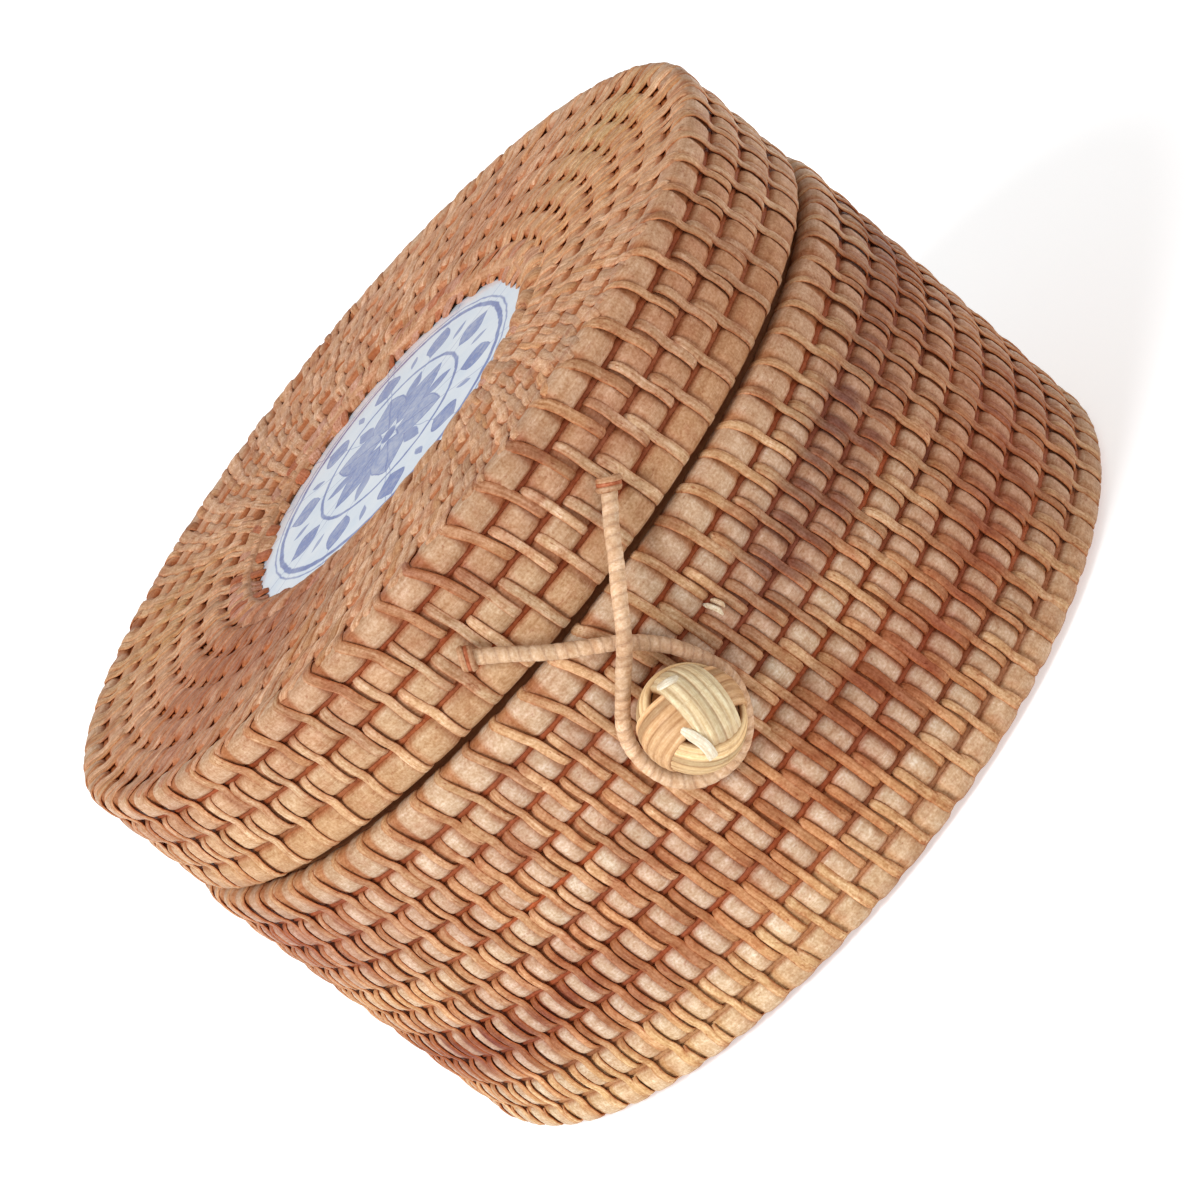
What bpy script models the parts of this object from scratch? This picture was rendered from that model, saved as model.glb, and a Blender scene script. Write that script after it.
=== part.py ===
"""Round tea canister of coiled cane: a wall of ten stacked coils on a flat
coiled base, a lid of four wall coils round a slightly sunken coiled top with a
porcelain disc, a cane hinge at the back, and a cord loop at the front that
crosses over itself and hooks round a knotted ball.

Metres, +Z up. Origin at the middle of the underside. The closure is at the
front (-Y) and the hinge at the back (+Y).
"""

import math

import bmesh
import bpy
from mathutils import Matrix, Vector

MM = 0.001

# ---- driving dimensions, in millimetres ------------------------------------
BODY_ROWS = (7.5, 6.6, 6.4, 6.55, 6.45, 6.65, 7.65, 7.4, 7.0, 6.6)  # top to bottom
LID_ROWS = (6.1, 6.4, 6.6, 6.9)  # top to bottom
SEAM_GAP = 0.8
R_BODY_TOP = 81.0  # outer radius of the wall at the seam
R_BODY_BOTTOM = 80.5
R_LID = 79.9
COIL_HALF = 3.2  # half the thickness of a wall coil, in and out
ROW_GAP = 0.34  # between one coil and the next

BASE_PITCH = 6.45
BASE_FIRST_R = 70.9
BASE_TURNS = 10
BASE_LOW = 0.0  # the flat base lies level with the foot coil
BASE_HIGH = 6.0

TOP_PITCH = 6.35
TOP_FIRST_R = 70.1
TOP_TURNS = 6
# tops of the lid's flat coils from the rim inwards: level with the rim's crest,
# with the innermost ones dipping towards the disc
TOP_HIGHS = (95.2, 95.2, 95.2, 95.15, 94.85, 93.9)
TOP_HALF_H = 3.1

DISC_R = 34.9
DISC_EDGE_Z = 91.7
DISC_LOW_Z = 88.9

COLLAR_WALL = 1.9
COLLAR_TOP = 75.2
COLLAR_LOW = 56.0

BALL_R = 8.9
BALL_AZ = -3.1  # degrees from the front, towards +X positive
BALL_Z = 48.9
BALL_REACH = 90.6  # from the axis to the ball's middle
STEM_R = 1.5

CORD_R = 1.5
HINGE_Y = 81.0
HINGE_Z = 69.2

SEGS = 32  # facets round every ring, all in line with each other

CANE = (0.55, 0.30, 0.15)
CANE_DARK = (0.40, 0.20, 0.10)
STRAW = (0.80, 0.62, 0.34)
BAMBOO = (0.62, 0.44, 0.24)
GLAZE = (0.82, 0.87, 0.92)

BODY_H = sum(BODY_ROWS)
LID_LOW = BODY_H + SEAM_GAP
HEIGHT = LID_LOW + sum(LID_ROWS)


# ---- helpers ----------------------------------------------------------------
def clear_scene():
    for obj in list(bpy.data.objects):
        bpy.data.objects.remove(obj, do_unlink=True)


def material(name, colour, roughness):
    mat = bpy.data.materials.new(name)
    mat.use_nodes = True
    shader = mat.node_tree.nodes["Principled BSDF"]
    shader.inputs["Base Color"].default_value = (*colour, 1.0)
    shader.inputs["Roughness"].default_value = roughness
    shader.inputs["Metallic"].default_value = 0.0
    return mat


def place(name, bm, at, colour, roughness, parent=None):
    """One object from a bmesh whose points are measured from `at` (mm)."""
    bmesh.ops.remove_doubles(bm, verts=bm.verts, dist=1e-6)
    bmesh.ops.recalc_face_normals(bm, faces=bm.faces)
    if bm.calc_volume(signed=True) < 0:
        bmesh.ops.reverse_faces(bm, faces=bm.faces)
    mesh = bpy.data.meshes.new(name)
    bm.to_mesh(mesh)
    bm.free()
    mesh.shade_smooth()
    mesh.set_sharp_from_angle(angle=math.radians(50))
    mesh.materials.append(material(name, colour, roughness))
    obj = bpy.data.objects.new(name, mesh)
    bpy.context.scene.collection.objects.link(obj)
    obj.location = Vector(at) * MM
    ride(obj, parent)
    return obj


def ride(obj, parent):
    """Hang an object on an unturned empty, keeping its place."""
    if parent is not None:
        obj.parent = parent
        offset = Vector((0, 0, 0))
        up = parent
        while up is not None:
            offset += up.location
            up = up.parent
        obj.location = obj.location - offset


def pivot(name, at, parent=None):
    empty = bpy.data.objects.new(name, None)
    bpy.context.scene.collection.objects.link(empty)
    empty.location = Vector(at) * MM
    ride(empty, parent)
    return empty


def turned(profile, segs=SEGS, closed=True):
    """A profile of (radius, height) points in mm turned once round Z. The
    facets' flats face the front and the back."""
    bm = bmesh.new()
    points = [bm.verts.new((r * MM, 0.0, z * MM)) for r, z in profile]
    count = len(points)
    edges = [
        bm.edges.new((points[i], points[(i + 1) % count]))
        for i in range(count if closed else count - 1)
    ]
    start = math.pi / 2 + math.pi / segs
    bmesh.ops.rotate(
        bm, verts=points, cent=(0, 0, 0), matrix=Matrix.Rotation(start, 3, "Z")
    )
    bmesh.ops.spin(
        bm,
        geom=points + edges,
        cent=(0, 0, 0),
        axis=(0, 0, 1),
        dvec=(0, 0, 0),
        angle=2 * math.pi,
        steps=segs,
        use_merge=True,
    )
    return bm


def coil_section(r, half, low, high, flat=0.5, side=0.45):
    """The eight-sided section of one wrapped coil, its top and bottom flat."""
    mid, rise = (low + high) / 2, (high - low) / 2
    corners = (
        (1, side), (flat, 1), (-flat, 1), (-1, side),
        (-1, -side), (-flat, -1), (flat, -1), (1, -side),
    )
    return [(r + u * half, mid + v * rise) for u, v in corners]


def six_sided(r, half, low, high):
    mid = (low + high) / 2
    return [
        (r + half, mid), (r + half / 2, high), (r - half / 2, high),
        (r - half, mid), (r - half / 2, low), (r + half / 2, low),
    ]


def shifted(profile, dz):
    return [(r, z - dz) for r, z in profile]


def around(az, r, z):
    """A point by its angle from the front (degrees), radius and height, mm."""
    a = math.radians(az)
    return Vector((r * math.sin(a), -r * math.cos(a), z))


def rod(name, path, radius, sides_resolution, colour, roughness, at, parent=None):
    """A round cord through the path's points (mm), with filled ends."""
    data = bpy.data.curves.new(name, "CURVE")
    data.dimensions = "3D"
    data.bevel_depth = radius * MM
    data.bevel_resolution = sides_resolution
    data.use_fill_caps = True
    data.twist_mode = "MINIMUM"
    spline = data.splines.new("POLY")
    spline.points.add(len(path) - 1)
    for point, p in zip(spline.points, path):
        q = (Vector(p) - Vector(at)) * MM
        point.co = (q.x, q.y, q.z, 1.0)
    data.materials.append(material(name, colour, roughness))
    obj = bpy.data.objects.new(name, data)
    bpy.context.scene.collection.objects.link(obj)
    obj.location = Vector(at) * MM
    ride(obj, parent)
    return obj


def smooth_path(knots, count):
    """Evenly spaced points on a Catmull-Rom curve through the knots."""
    pts = [Vector(k) for k in knots]
    pts = [2 * pts[0] - pts[1], *pts, 2 * pts[-1] - pts[-2]]
    dense = []
    for i in range(1, len(pts) - 2):
        a, b, c, d = pts[i - 1 : i + 3]
        for k in range(24):
            t = k / 24
            dense.append(
                0.5
                * (
                    2 * b
                    + (c - a) * t
                    + (2 * a - 5 * b + 4 * c - d) * t * t
                    + (3 * b - a - 3 * c + d) * t * t * t
                )
            )
    dense.append(pts[-2])
    lengths = [0.0]
    for p, q in zip(dense, dense[1:]):
        lengths.append(lengths[-1] + (q - p).length)
    out, j = [], 0
    for k in range(count):
        want = lengths[-1] * k / (count - 1)
        while j < len(dense) - 2 and lengths[j + 1] < want:
            j += 1
        span = lengths[j + 1] - lengths[j]
        out.append(dense[j].lerp(dense[j + 1], (want - lengths[j]) / span))
    return out


def strap(name, line, thick, x_low, x_high, colour, at, parent=None):
    """A flat strip of even thickness whose middle line runs in the YZ plane."""
    bm = bmesh.new()
    outer, inner = [], []
    for i, p in enumerate(line):
        a = Vector(line[max(i - 1, 0)])
        b = Vector(line[min(i + 1, len(line) - 1)])
        along = (b - a).normalized()
        side = Vector((-along.y, along.x)) * thick / 2
        outer.append(Vector(p) + side)
        inner.append(Vector(p) - side)
    ring = outer + inner[::-1]
    face = bm.faces.new(
        [
            bm.verts.new(((x_low - at[0]) * MM, (q.x - at[1]) * MM, (q.y - at[2]) * MM))
            for q in ring
        ]
    )
    grown = bmesh.ops.extrude_face_region(bm, geom=[face])
    moved = [v for v in grown["geom"] if isinstance(v, bmesh.types.BMVert)]
    bmesh.ops.translate(bm, verts=moved, vec=((x_high - x_low) * MM, 0, 0))
    return place(name, bm, at, colour, 0.6, parent)


# ---- the canister's body ------------------------------------------------------
def build_wall():
    """Ten stacked coils. The foot coil's flat underside is what it stands on."""
    high = BODY_H
    coils = []
    for row, tall in enumerate(BODY_ROWS):
        low = high - tall
        share = row / (len(BODY_ROWS) - 1)
        radius = R_BODY_TOP + (R_BODY_BOTTOM - R_BODY_TOP) * share - COIL_HALF
        top = high if row == 0 else high - ROW_GAP / 2
        bottom = 0.0 if row == len(BODY_ROWS) - 1 else low + ROW_GAP / 2
        mid = (top + bottom) / 2
        section = shifted(coil_section(radius, COIL_HALF, bottom, top), mid)
        coils.append(
            place(f"wall_coil_{row + 1:02d}", turned(section), (0, 0, mid), CANE, 0.6)
        )
        high = low
    return coils


def build_base():
    """Concentric turns of the flat base, and the small start of the coil."""
    mid = (BASE_LOW + BASE_HIGH) / 2
    half = (BASE_PITCH - 0.4) / 2
    for turn in range(BASE_TURNS):
        radius = BASE_FIRST_R - turn * BASE_PITCH
        segs = SEGS if turn < 5 else SEGS // 2
        thick = half if turn != 5 else half - 0.3
        section = shifted(six_sided(radius, thick, BASE_LOW, BASE_HIGH), mid)
        place(
            f"base_coil_{turn + 1:02d}", turned(section, segs), (0, 0, mid), CANE, 0.65
        )
    edge = BASE_FIRST_R - (BASE_TURNS - 1) * BASE_PITCH - half - 0.4
    rise = (BASE_HIGH - BASE_LOW) / 2
    button = [
        (0, -rise), (edge - 1.2, -rise), (edge, 0), (edge - 1.2, rise), (0, rise)
    ]
    place(
        "base_centre", turned(button, SEGS // 2, closed=False), (0, 0, mid), CANE, 0.65
    )


def build_collar():
    """A bent strip inside the mouth. Its upper edge guides the lid."""
    inner = R_BODY_TOP - 2 * COIL_HALF - 0.4 - COLLAR_WALL - 1.5
    outer_low = R_BODY_TOP - 2 * COIL_HALF - 0.4
    outer_high = R_LID - 2 * COIL_HALF - 0.9
    profile = [
        (inner, COLLAR_LOW), (outer_low - 0.6, COLLAR_LOW),
        (outer_low, COLLAR_LOW + 0.8), (outer_low, BODY_H - 0.6),
        (outer_high, BODY_H + 0.2), (outer_high, COLLAR_TOP - 1.6),
        (outer_high - 0.7, COLLAR_TOP), (inner, COLLAR_TOP),
    ]
    mid = (COLLAR_LOW + COLLAR_TOP) / 2
    place("inner_collar", turned(shifted(profile, mid)), (0, 0, mid), BAMBOO, 0.5)


def build_knot(coils):
    """The knotted ball, and its stem through the wall between two coils."""
    level = BODY_H - sum(BODY_ROWS[:3])
    middle = around(BALL_AZ, BALL_REACH, BALL_Z)
    bm = bmesh.new()
    bmesh.ops.create_uvsphere(
        bm, u_segments=20, v_segments=12, radius=BALL_R * MM
    )
    place("knot_ball", bm, middle, STRAW, 0.5)

    turn = Matrix.Rotation(math.radians(90), 3, "X")
    swing = Matrix.Rotation(math.radians(BALL_AZ), 3, "Z")
    # the stem is turned about its own length, then laid along the radius
    inside, wall_in = 71.9, R_BODY_TOP - 2 * COIL_HALF
    stem = [
        (0, inside), (2.9, inside), (3.4, inside + 0.8), (2.9, wall_in - 0.9),
        (STEM_R, wall_in - 0.9), (STEM_R, R_BODY_TOP + 0.2), (0, R_BODY_TOP + 0.2),
    ]
    bm = turned(stem, 12, closed=False)
    bmesh.ops.rotate(bm, verts=bm.verts, cent=(0, 0, 0), matrix=swing @ turn)
    place("knot_stem", bm, (0, 0, level), CANE_DARK, 0.6)

    hole = [
        (0, 70.0), (STEM_R + 0.45, 70.0), (STEM_R + 0.45, 84.0), (0, 84.0)
    ]
    bm = turned(hole, 12, closed=False)
    bmesh.ops.rotate(bm, verts=bm.verts, cent=(0, 0, 0), matrix=swing @ turn)
    cutter = place("stem_hole_cutter", bm, (0, 0, level), CANE, 0.6)
    cutter.hide_render = True
    cutter.display_type = "WIRE"
    for coil in (coils[2], coils[3]):
        cut = coil.modifiers.new("stem_hole", "BOOLEAN")
        cut.operation = "DIFFERENCE"
        cut.solver = "EXACT"
        cut.object = cutter


# ---- the lid ------------------------------------------------------------------
def build_lid(lid):
    """Four wall coils, the first of them the rounded rim, and six flat turns."""
    high = HEIGHT
    for row, tall in enumerate(LID_ROWS):
        low = high - tall
        top = high if row == 0 else high - ROW_GAP / 2
        bottom = low if row == len(LID_ROWS) - 1 else low + ROW_GAP / 2
        mid = (top + bottom) / 2
        section = shifted(
            coil_section(R_LID - COIL_HALF, COIL_HALF, bottom, top), mid
        )
        place(f"lid_coil_{row + 1:02d}", turned(section), (0, 0, mid), CANE, 0.6, lid)
        high = low

    half = (TOP_PITCH - 0.35) / 2
    for turn in range(TOP_TURNS):
        mid = TOP_HIGHS[turn] - TOP_HALF_H
        radius = TOP_FIRST_R - turn * TOP_PITCH
        section = six_sided(radius, half, -TOP_HALF_H, TOP_HALF_H)
        place(
            f"lid_top_coil_{turn + 1:02d}", turned(section), (0, 0, mid), CANE, 0.6, lid
        )


def build_porcelain(lid):
    """The disc, the ring of binding over its edge and the coiled seat under it."""
    profile = [(0, DISC_LOW_Z), (DISC_R - 1.6, DISC_LOW_Z), (DISC_R, DISC_LOW_Z + 1.4)]
    profile += [(DISC_R, DISC_EDGE_Z - 0.8), (DISC_R - 0.7, DISC_EDGE_Z)]
    for r in (26.0, 15.0):
        profile.append((r, DISC_EDGE_Z + 0.55 * (1 - (r / DISC_R) ** 2)))
    profile.append((0, DISC_EDGE_Z + 0.55))
    place(
        "porcelain_disc",
        turned(shifted(profile, 90.0), closed=False),
        (0, 0, 90.0),
        GLAZE,
        0.15,
        lid,
    )
    binding = [
        (32.9, DISC_EDGE_Z + 0.35), (35.05, DISC_EDGE_Z + 0.35),
        (35.15, DISC_EDGE_Z + 1.0), (34.4, DISC_EDGE_Z + 1.3), (33.3, DISC_EDGE_Z + 0.9),
    ]
    place(
        "porcelain_binding",
        turned(shifted(binding, 92.0)),
        (0, 0, 92.0),
        CANE_DARK,
        0.6,
        lid,
    )
    seat_r = TOP_FIRST_R - (TOP_TURNS - 1) * TOP_PITCH - TOP_PITCH / 2 + 0.175 - 0.45
    seat_top = DISC_LOW_Z - 0.3
    seat_low = seat_top - 2.0
    seat = [
        (0, seat_low), (seat_r - 1.0, seat_low),
        (seat_r, (seat_low + seat_top) / 2), (seat_r - 0.4, seat_top), (0, seat_top),
    ]
    place(
        "porcelain_seat",
        turned(shifted(seat, 87.6), closed=False),
        (0, 0, 87.6),
        CANE,
        0.65,
        lid,
    )


# ---- hinge and closure ----------------------------------------------------------
def build_hinge(lid):
    """Two cane strips over the lid's lowest coil and the body's highest one.
    They bend where they cross the seam, and the lid turns about that line."""
    line = (
        (79.2, 77.0), (80.0, 75.7), (80.36, 74.4), (80.36, 71.8), (80.6, 70.3),
        (HINGE_Y, HINGE_Z), (81.41, 67.9), (81.41, 62.9), (81.1, 61.7), (80.2, 60.7),
    )
    for side, x in (("left", -4.4), ("right", 4.4)):
        strap(
            f"hinge_tie_{side}", line, 1.0, x - 3.0, x + 3.0, STRAW,
            (x, HINGE_Y, HINGE_Z), lid,
        )


# the cord's route: angle from the front (degrees), height, radius of its middle
LOOP_ROUTE = (
    (10.9, 79.8, 81.9), (8.8, 77.2, 82.0), (6.8, 74.8, 82.5), (4.5, 71.7, 83.6),
    (2.3, 69.0, 84.9), (0.2, 66.1, 86.0), (-1.8, 63.2, 86.35), (-3.9, 60.6, 86.0),
    (-6.1, 57.7, 85.1), (-8.2, 54.7, 84.1), (-9.6, 51.6, 83.3), (-10.3, 48.0, 83.0),
    (-10.3, 44.4, 82.9), (-9.5, 41.1, 82.8), (-7.9, 38.5, 82.8), (-5.6, 37.0, 82.8),
    (-3.3, 36.8, 82.8), (-1.1, 38.0, 82.8), (0.9, 40.5, 82.8), (2.3, 44.2, 82.9),
    (2.6, 48.0, 82.9), (2.2, 51.8, 82.9), (1.4, 55.6, 82.9), (0.0, 59.4, 82.9),
    (-1.8, 62.9, 82.9), (-3.9, 65.9, 82.9), (-6.0, 68.7, 82.8), (-8.1, 71.7, 82.5),
    (-10.2, 75.0, 82.1), (-12.3, 78.0, 81.9), (-13.7, 79.8, 81.9),
)


def build_closure(lid):
    """The loop's two ends are lashed to the third coil of the lid. It turns
    about the line through them."""
    knots = [around(az, r, z) for az, z, r in LOOP_ROUTE]
    middle = (knots[0] + knots[-1]) / 2
    swing = pivot("loop_pivot", middle, lid)
    rod(
        "closure_loop", smooth_path(knots, 76), CORD_R, 2, STRAW, 0.55, middle, swing
    )
    for side, end, beyond in (
        ("right", knots[0], knots[1]),
        ("left", knots[-1], knots[-2]),
    ):
        along = (beyond - end).normalized()
        at = end + along * 1.5
        out = Vector((at.x, at.y, 0)).normalized()
        across = along.cross(out).normalized()
        up = across.cross(along).normalized()
        if up.dot(out) < 0:
            up = -up
        arch = []
        for k in range(9):
            a = math.radians(-28 + 236 * k / 8)
            arch.append(at + (across * math.cos(a) + up * math.sin(a)) * 2.3)
        rod(f"loop_lashing_{side}", arch, 0.45, 1, CANE_DARK, 0.6, at, lid)


def main():
    clear_scene()
    coils = build_wall()
    build_base()
    build_collar()
    build_knot(coils)
    lid = pivot("lid_pivot", (0, HINGE_Y, HINGE_Z))
    build_lid(lid)
    build_porcelain(lid)
    build_hinge(lid)
    build_closure(lid)


main()
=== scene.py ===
"""Looks of the coiled cane tea canister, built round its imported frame.

Lengths below are in millimetres in the part's own frame: +Z up, the closure at
the front (-Y), the hinge at the back (+Y). Meshes are scaled to metres once.
"""

import math

import bpy  # noqa: E402
import numpy as np  # noqa: E402
from mathutils import Matrix, Vector  # noqa: E402


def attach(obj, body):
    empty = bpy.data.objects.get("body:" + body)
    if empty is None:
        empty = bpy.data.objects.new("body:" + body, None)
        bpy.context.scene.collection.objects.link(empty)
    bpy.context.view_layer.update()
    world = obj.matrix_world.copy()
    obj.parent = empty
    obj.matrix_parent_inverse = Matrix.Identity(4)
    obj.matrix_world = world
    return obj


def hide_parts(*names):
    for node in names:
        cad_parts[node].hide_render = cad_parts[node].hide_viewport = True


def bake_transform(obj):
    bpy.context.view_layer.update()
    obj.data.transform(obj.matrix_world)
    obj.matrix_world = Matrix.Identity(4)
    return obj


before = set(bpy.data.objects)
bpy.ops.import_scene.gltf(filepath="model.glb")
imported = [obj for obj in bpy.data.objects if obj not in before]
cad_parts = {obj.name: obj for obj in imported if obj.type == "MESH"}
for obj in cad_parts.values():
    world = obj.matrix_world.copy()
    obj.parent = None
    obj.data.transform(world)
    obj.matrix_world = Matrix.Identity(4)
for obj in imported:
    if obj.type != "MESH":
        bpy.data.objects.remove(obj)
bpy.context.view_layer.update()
MM = 0.001
rng = np.random.default_rng(20)

# ---- sizes repeated from the CAD -------------------------------------------------
BODY_ROWS = (7.5, 6.6, 6.4, 6.55, 6.45, 6.65, 7.65, 7.4, 7.0, 6.6)
LID_ROWS = (6.1, 6.4, 6.6, 6.9)
R_TOP, R_BOTTOM, R_LID, HALF = 81.0, 80.5, 79.9, 3.2
BODY_H = sum(BODY_ROWS)
LID_LOW = BODY_H + 0.8
HEIGHT = LID_LOW + sum(LID_ROWS)
TOP_RADII = [70.1 - 6.35 * k for k in range(6)]
BASE_RADII = [70.9 - 6.45 * k for k in range(10)]
BALL_AZ, BALL_REACH, BALL_Z, BALL_R = -3.1, 90.6, 48.9, 8.9
LOOP_ROUTE = (
    (10.9, 79.8, 81.9), (8.8, 77.2, 82.0), (6.8, 74.8, 82.5), (4.5, 71.7, 83.6),
    (2.3, 69.0, 84.9), (0.2, 66.1, 86.0), (-1.8, 63.2, 86.35), (-3.9, 60.6, 86.0),
    (-6.1, 57.7, 85.1), (-8.2, 54.7, 84.1), (-9.6, 51.6, 83.3), (-10.3, 48.0, 83.0),
    (-10.3, 44.4, 82.9), (-9.5, 41.1, 82.8), (-7.9, 38.5, 82.8), (-5.6, 37.0, 82.8),
    (-3.3, 36.8, 82.8), (-1.1, 38.0, 82.8), (0.9, 40.5, 82.8), (2.3, 44.2, 82.9),
    (2.6, 48.0, 82.9), (2.2, 51.8, 82.9), (1.4, 55.6, 82.9), (0.0, 59.4, 82.9),
    (-1.8, 62.9, 82.9), (-3.9, 65.9, 82.9), (-6.0, 68.7, 82.8), (-8.1, 71.7, 82.5),
    (-10.2, 75.0, 82.1), (-12.3, 78.0, 81.9), (-13.7, 79.8, 81.9),
)


# ---- colours ---------------------------------------------------------------------
LIGHT = 0.86  # the studio light is brighter than 1, so surfaces are this much darker


def lin(r, g, b):
    """A colour given as the 0-255 display values that it shows in the studio light."""
    c = np.array([r, g, b], float) / 255
    return np.where(c <= 0.04045, c / 12.92, ((c + 0.055) / 1.055) ** 2.4) * LIGHT


CREAM = lin(228, 200, 172)
TAN = lin(208, 160, 122)
HONEY = lin(216, 176, 126)
PINK_TAN = lin(206, 154, 130)
RUSSET = lin(170, 100, 68)
UMBER = lin(136, 82, 60)
# painted shade: the dark red-brown that coils, strip ends, spiral valleys and the seat take towards their grooves
GROOVE_SHADE = lin(166, 84, 38)
OUTLINE_SHADE = lin(184, 96, 38)  # painted shade along the strips' edges and on the coils where the strips cover them
HOLE_SHADE = lin(182, 106, 60)  # painted shade: the darkened coil and core rings that show between the strips on the lid's top

# The canister's rows from the top: windows between the strips, then the strips.
BODY_WINDOWS = (
    lin(209, 180, 150), lin(211, 184, 157), lin(207, 175, 147), lin(209, 179, 152), lin(214, 190, 163),
    lin(211, 181, 154), lin(214, 186, 159), lin(215, 189, 163), lin(213, 192, 167), lin(208, 184, 155),
)
BODY_STRIPS = (
    lin(216, 176, 134), lin(218, 178, 136), lin(210, 164, 122), lin(214, 168, 126), lin(218, 176, 134),
    lin(214, 164, 118), lin(208, 152, 106), lin(210, 154, 108), lin(220, 182, 138), lin(222, 190, 146),
)
LID_WINDOWS = (lin(202, 164, 131), lin(202, 162, 127), lin(203, 168, 132), lin(199, 161, 123))
LID_STRIPS = (lin(206, 162, 122), lin(218, 184, 148), lin(218, 184, 147))

# Soft stains on the wall, and one wide painted shade that darkens and warms the windows on
# the shaded right side: angle, its spread, height, its spread, colour, how far it takes the strips and how far the
# windows.
WALL_STAINS_AND_SHADE = (
    (36, 24, 52.8, 4.2, lin(120, 78, 70), 0.92, 0.42),
    (32, 22, 46.0, 3.6, lin(132, 84, 70), 0.78, 0.30),
    (14, 9, 49.0, 5.5, lin(122, 76, 66), 0.72, 0.22),
    (10, 14, 27.0, 5.0, lin(164, 88, 60), 0.70, 0.14),
    (24, 24, 19.5, 6.0, lin(156, 80, 56), 0.72, 0.22),
    (50, 16, 24.0, 9.0, lin(158, 84, 64), 0.60, 0.30),
    (-48, 26, 25.5, 4.0, lin(134, 68, 50), 0.95, 0.10),
    (-66, 18, 22.0, 5.0, lin(134, 70, 52), 0.85, 0.40),
    (-34, 12, 17.5, 4.5, lin(146, 84, 62), 0.70, 0.05),
    (-30, 26, 33.5, 4.0, lin(170, 100, 70), 0.45, 0.05),
    (-36, 26, 54.0, 7.0, lin(172, 108, 78), 0.35, 0.04),
    (-44, 14, 64.5, 4.5, lin(164, 94, 66), 0.40, 0.00),
    (-70, 18, 58.0, 12.0, lin(160, 92, 70), 0.72, 0.55),
    (-70, 12, 86.0, 4.5, lin(168, 100, 60), 0.55, 0.40),
    (-72, 13, 20.0, 7.0, lin(150, 80, 56), 0.35, 0.35),
    (70, 14, 51.5, 8.0, lin(100, 58, 46), 0.70, 0.60),
    (66, 14, 12.0, 10.0, lin(140, 82, 58), 0.40, 0.35),
    (-66, 20, 38.0, 4.5, lin(216, 170, 120), 0.80, 0.40),
    (-40, 46, 6.5, 7.0, lin(228, 190, 136), 0.80, 0.45),
    (30, 50, 5.0, 6.0, lin(212, 164, 122), 0.60, 0.40),
    (58, 20, 38.0, 30.0, lin(158, 92, 62), 0.50, 0.56),
    (-6, 22, 92.0, 7.0, lin(166, 92, 66), 0.42, 0.00),
    (26, 22, 84.0, 5.5, lin(196, 138, 112), 0.20, 0.45),
    (-58, 30, 74.0, 8.0, lin(222, 172, 118), 0.50, 0.30),
    (46, 30, 78.0, 14.0, lin(176, 112, 74), 0.45, 0.46),
    # painted shade: a wide warm darkening of the windows on the right side, away from the light
    (46, 34, 40.0, 60.0, lin(204, 144, 100), 0.00, 0.36),
    (150, 40, 30.0, 8.0, lin(150, 92, 70), 0.60, 0.20),
    (-140, 36, 52.0, 9.0, lin(140, 88, 70), 0.70, 0.25),
    (180, 50, 12.0, 9.0, lin(226, 186, 132), 0.55, 0.35),
    (115, 26, 55.0, 10.0, lin(168, 106, 84), 0.55, 0.25),
)
# Soft stains on the lid's top: x, y, spread, colour, strength.
TOP_STAINS = (
    (-50, -14, 17, lin(158, 84, 56), 0.55),
    (-34, -32, 15, lin(150, 86, 66), 0.60),
    (-62, -36, 16, lin(174, 106, 84), 0.40),
    (-54, 36, 20, lin(196, 152, 98), 0.55),
    (52, -14, 30, lin(214, 160, 108), 0.50),
    (66, 6, 14, lin(196, 168, 112), 0.45),
    (6, 60, 34, lin(208, 160, 130), 0.40),
    (44, 34, 15, lin(172, 108, 86), 0.35),
)


def blotches(az, z):
    """Uneven darker patches in the cane, one to three rows across: 0 to 1."""
    local = np.random.default_rng(77)
    field = 0.0
    for _ in range(18):
        turns = int(local.integers(7, 42))
        climb, phase = float(local.uniform(-0.55, 0.55)), float(local.uniform(0, 6.28))
        field = field + np.sin(turns * np.radians(az) + climb * z + phase)
    return np.clip((field / 3.0 - 0.35) / 1.3, 0, 1)


def stained(colour, az, z, part, amount):
    """A wall colour with the stains and the one painted shade laid over it. part 5: strips, 6: coils."""
    patch = (blotches(az, z) * (0.40 if part == 5 else 0.15))[..., None]
    out = colour * (1 - patch) + lin(150, 86, 60) * patch
    for stain in WALL_STAINS_AND_SHADE:
        turn = (az - stain[0] + 180) % 360 - 180
        w = np.exp(-((turn / stain[1]) ** 2) - ((z - stain[2]) / stain[3]) ** 2)
        w = np.clip(w * stain[part] * amount, 0, 0.95)[..., None]
        out = out * (1 - w) + stain[4] * w
    return out


def stained_top(colour, x, y, amount):
    out = colour
    for cx, cy, spread, tint, strength in TOP_STAINS:
        w = np.exp(-((x - cx) ** 2 + (y - cy) ** 2) / spread**2)
        w = np.clip(w * strength * amount, 0, 0.95)[..., None]
        out = out * (1 - w) + tint * w
    return out


# ---- meshes from arrays ------------------------------------------------------------
def grid_faces(rows, cols, close_rows=False, close_cols=False):
    """Quads over a grid of rows x cols points, numbered row by row."""
    i = np.arange(rows if close_rows else rows - 1)
    j = np.arange(cols if close_cols else cols - 1)
    i, j = np.meshgrid(i, j, indexing="ij")
    i2, j2 = (i + 1) % rows, (j + 1) % cols
    quads = np.stack([i * cols + j, i2 * cols + j, i2 * cols + j2, i * cols + j2], -1)
    return quads.reshape(-1, 4)


def volume(points, faces):
    a = points[faces[:, 0]]
    total = 0.0
    for k in range(1, faces.shape[1] - 1):
        total += np.einsum(
            "ij,ij->i", a, np.cross(points[faces[:, k]], points[faces[:, k + 1]])
        ).sum()
    return total / 6


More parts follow.
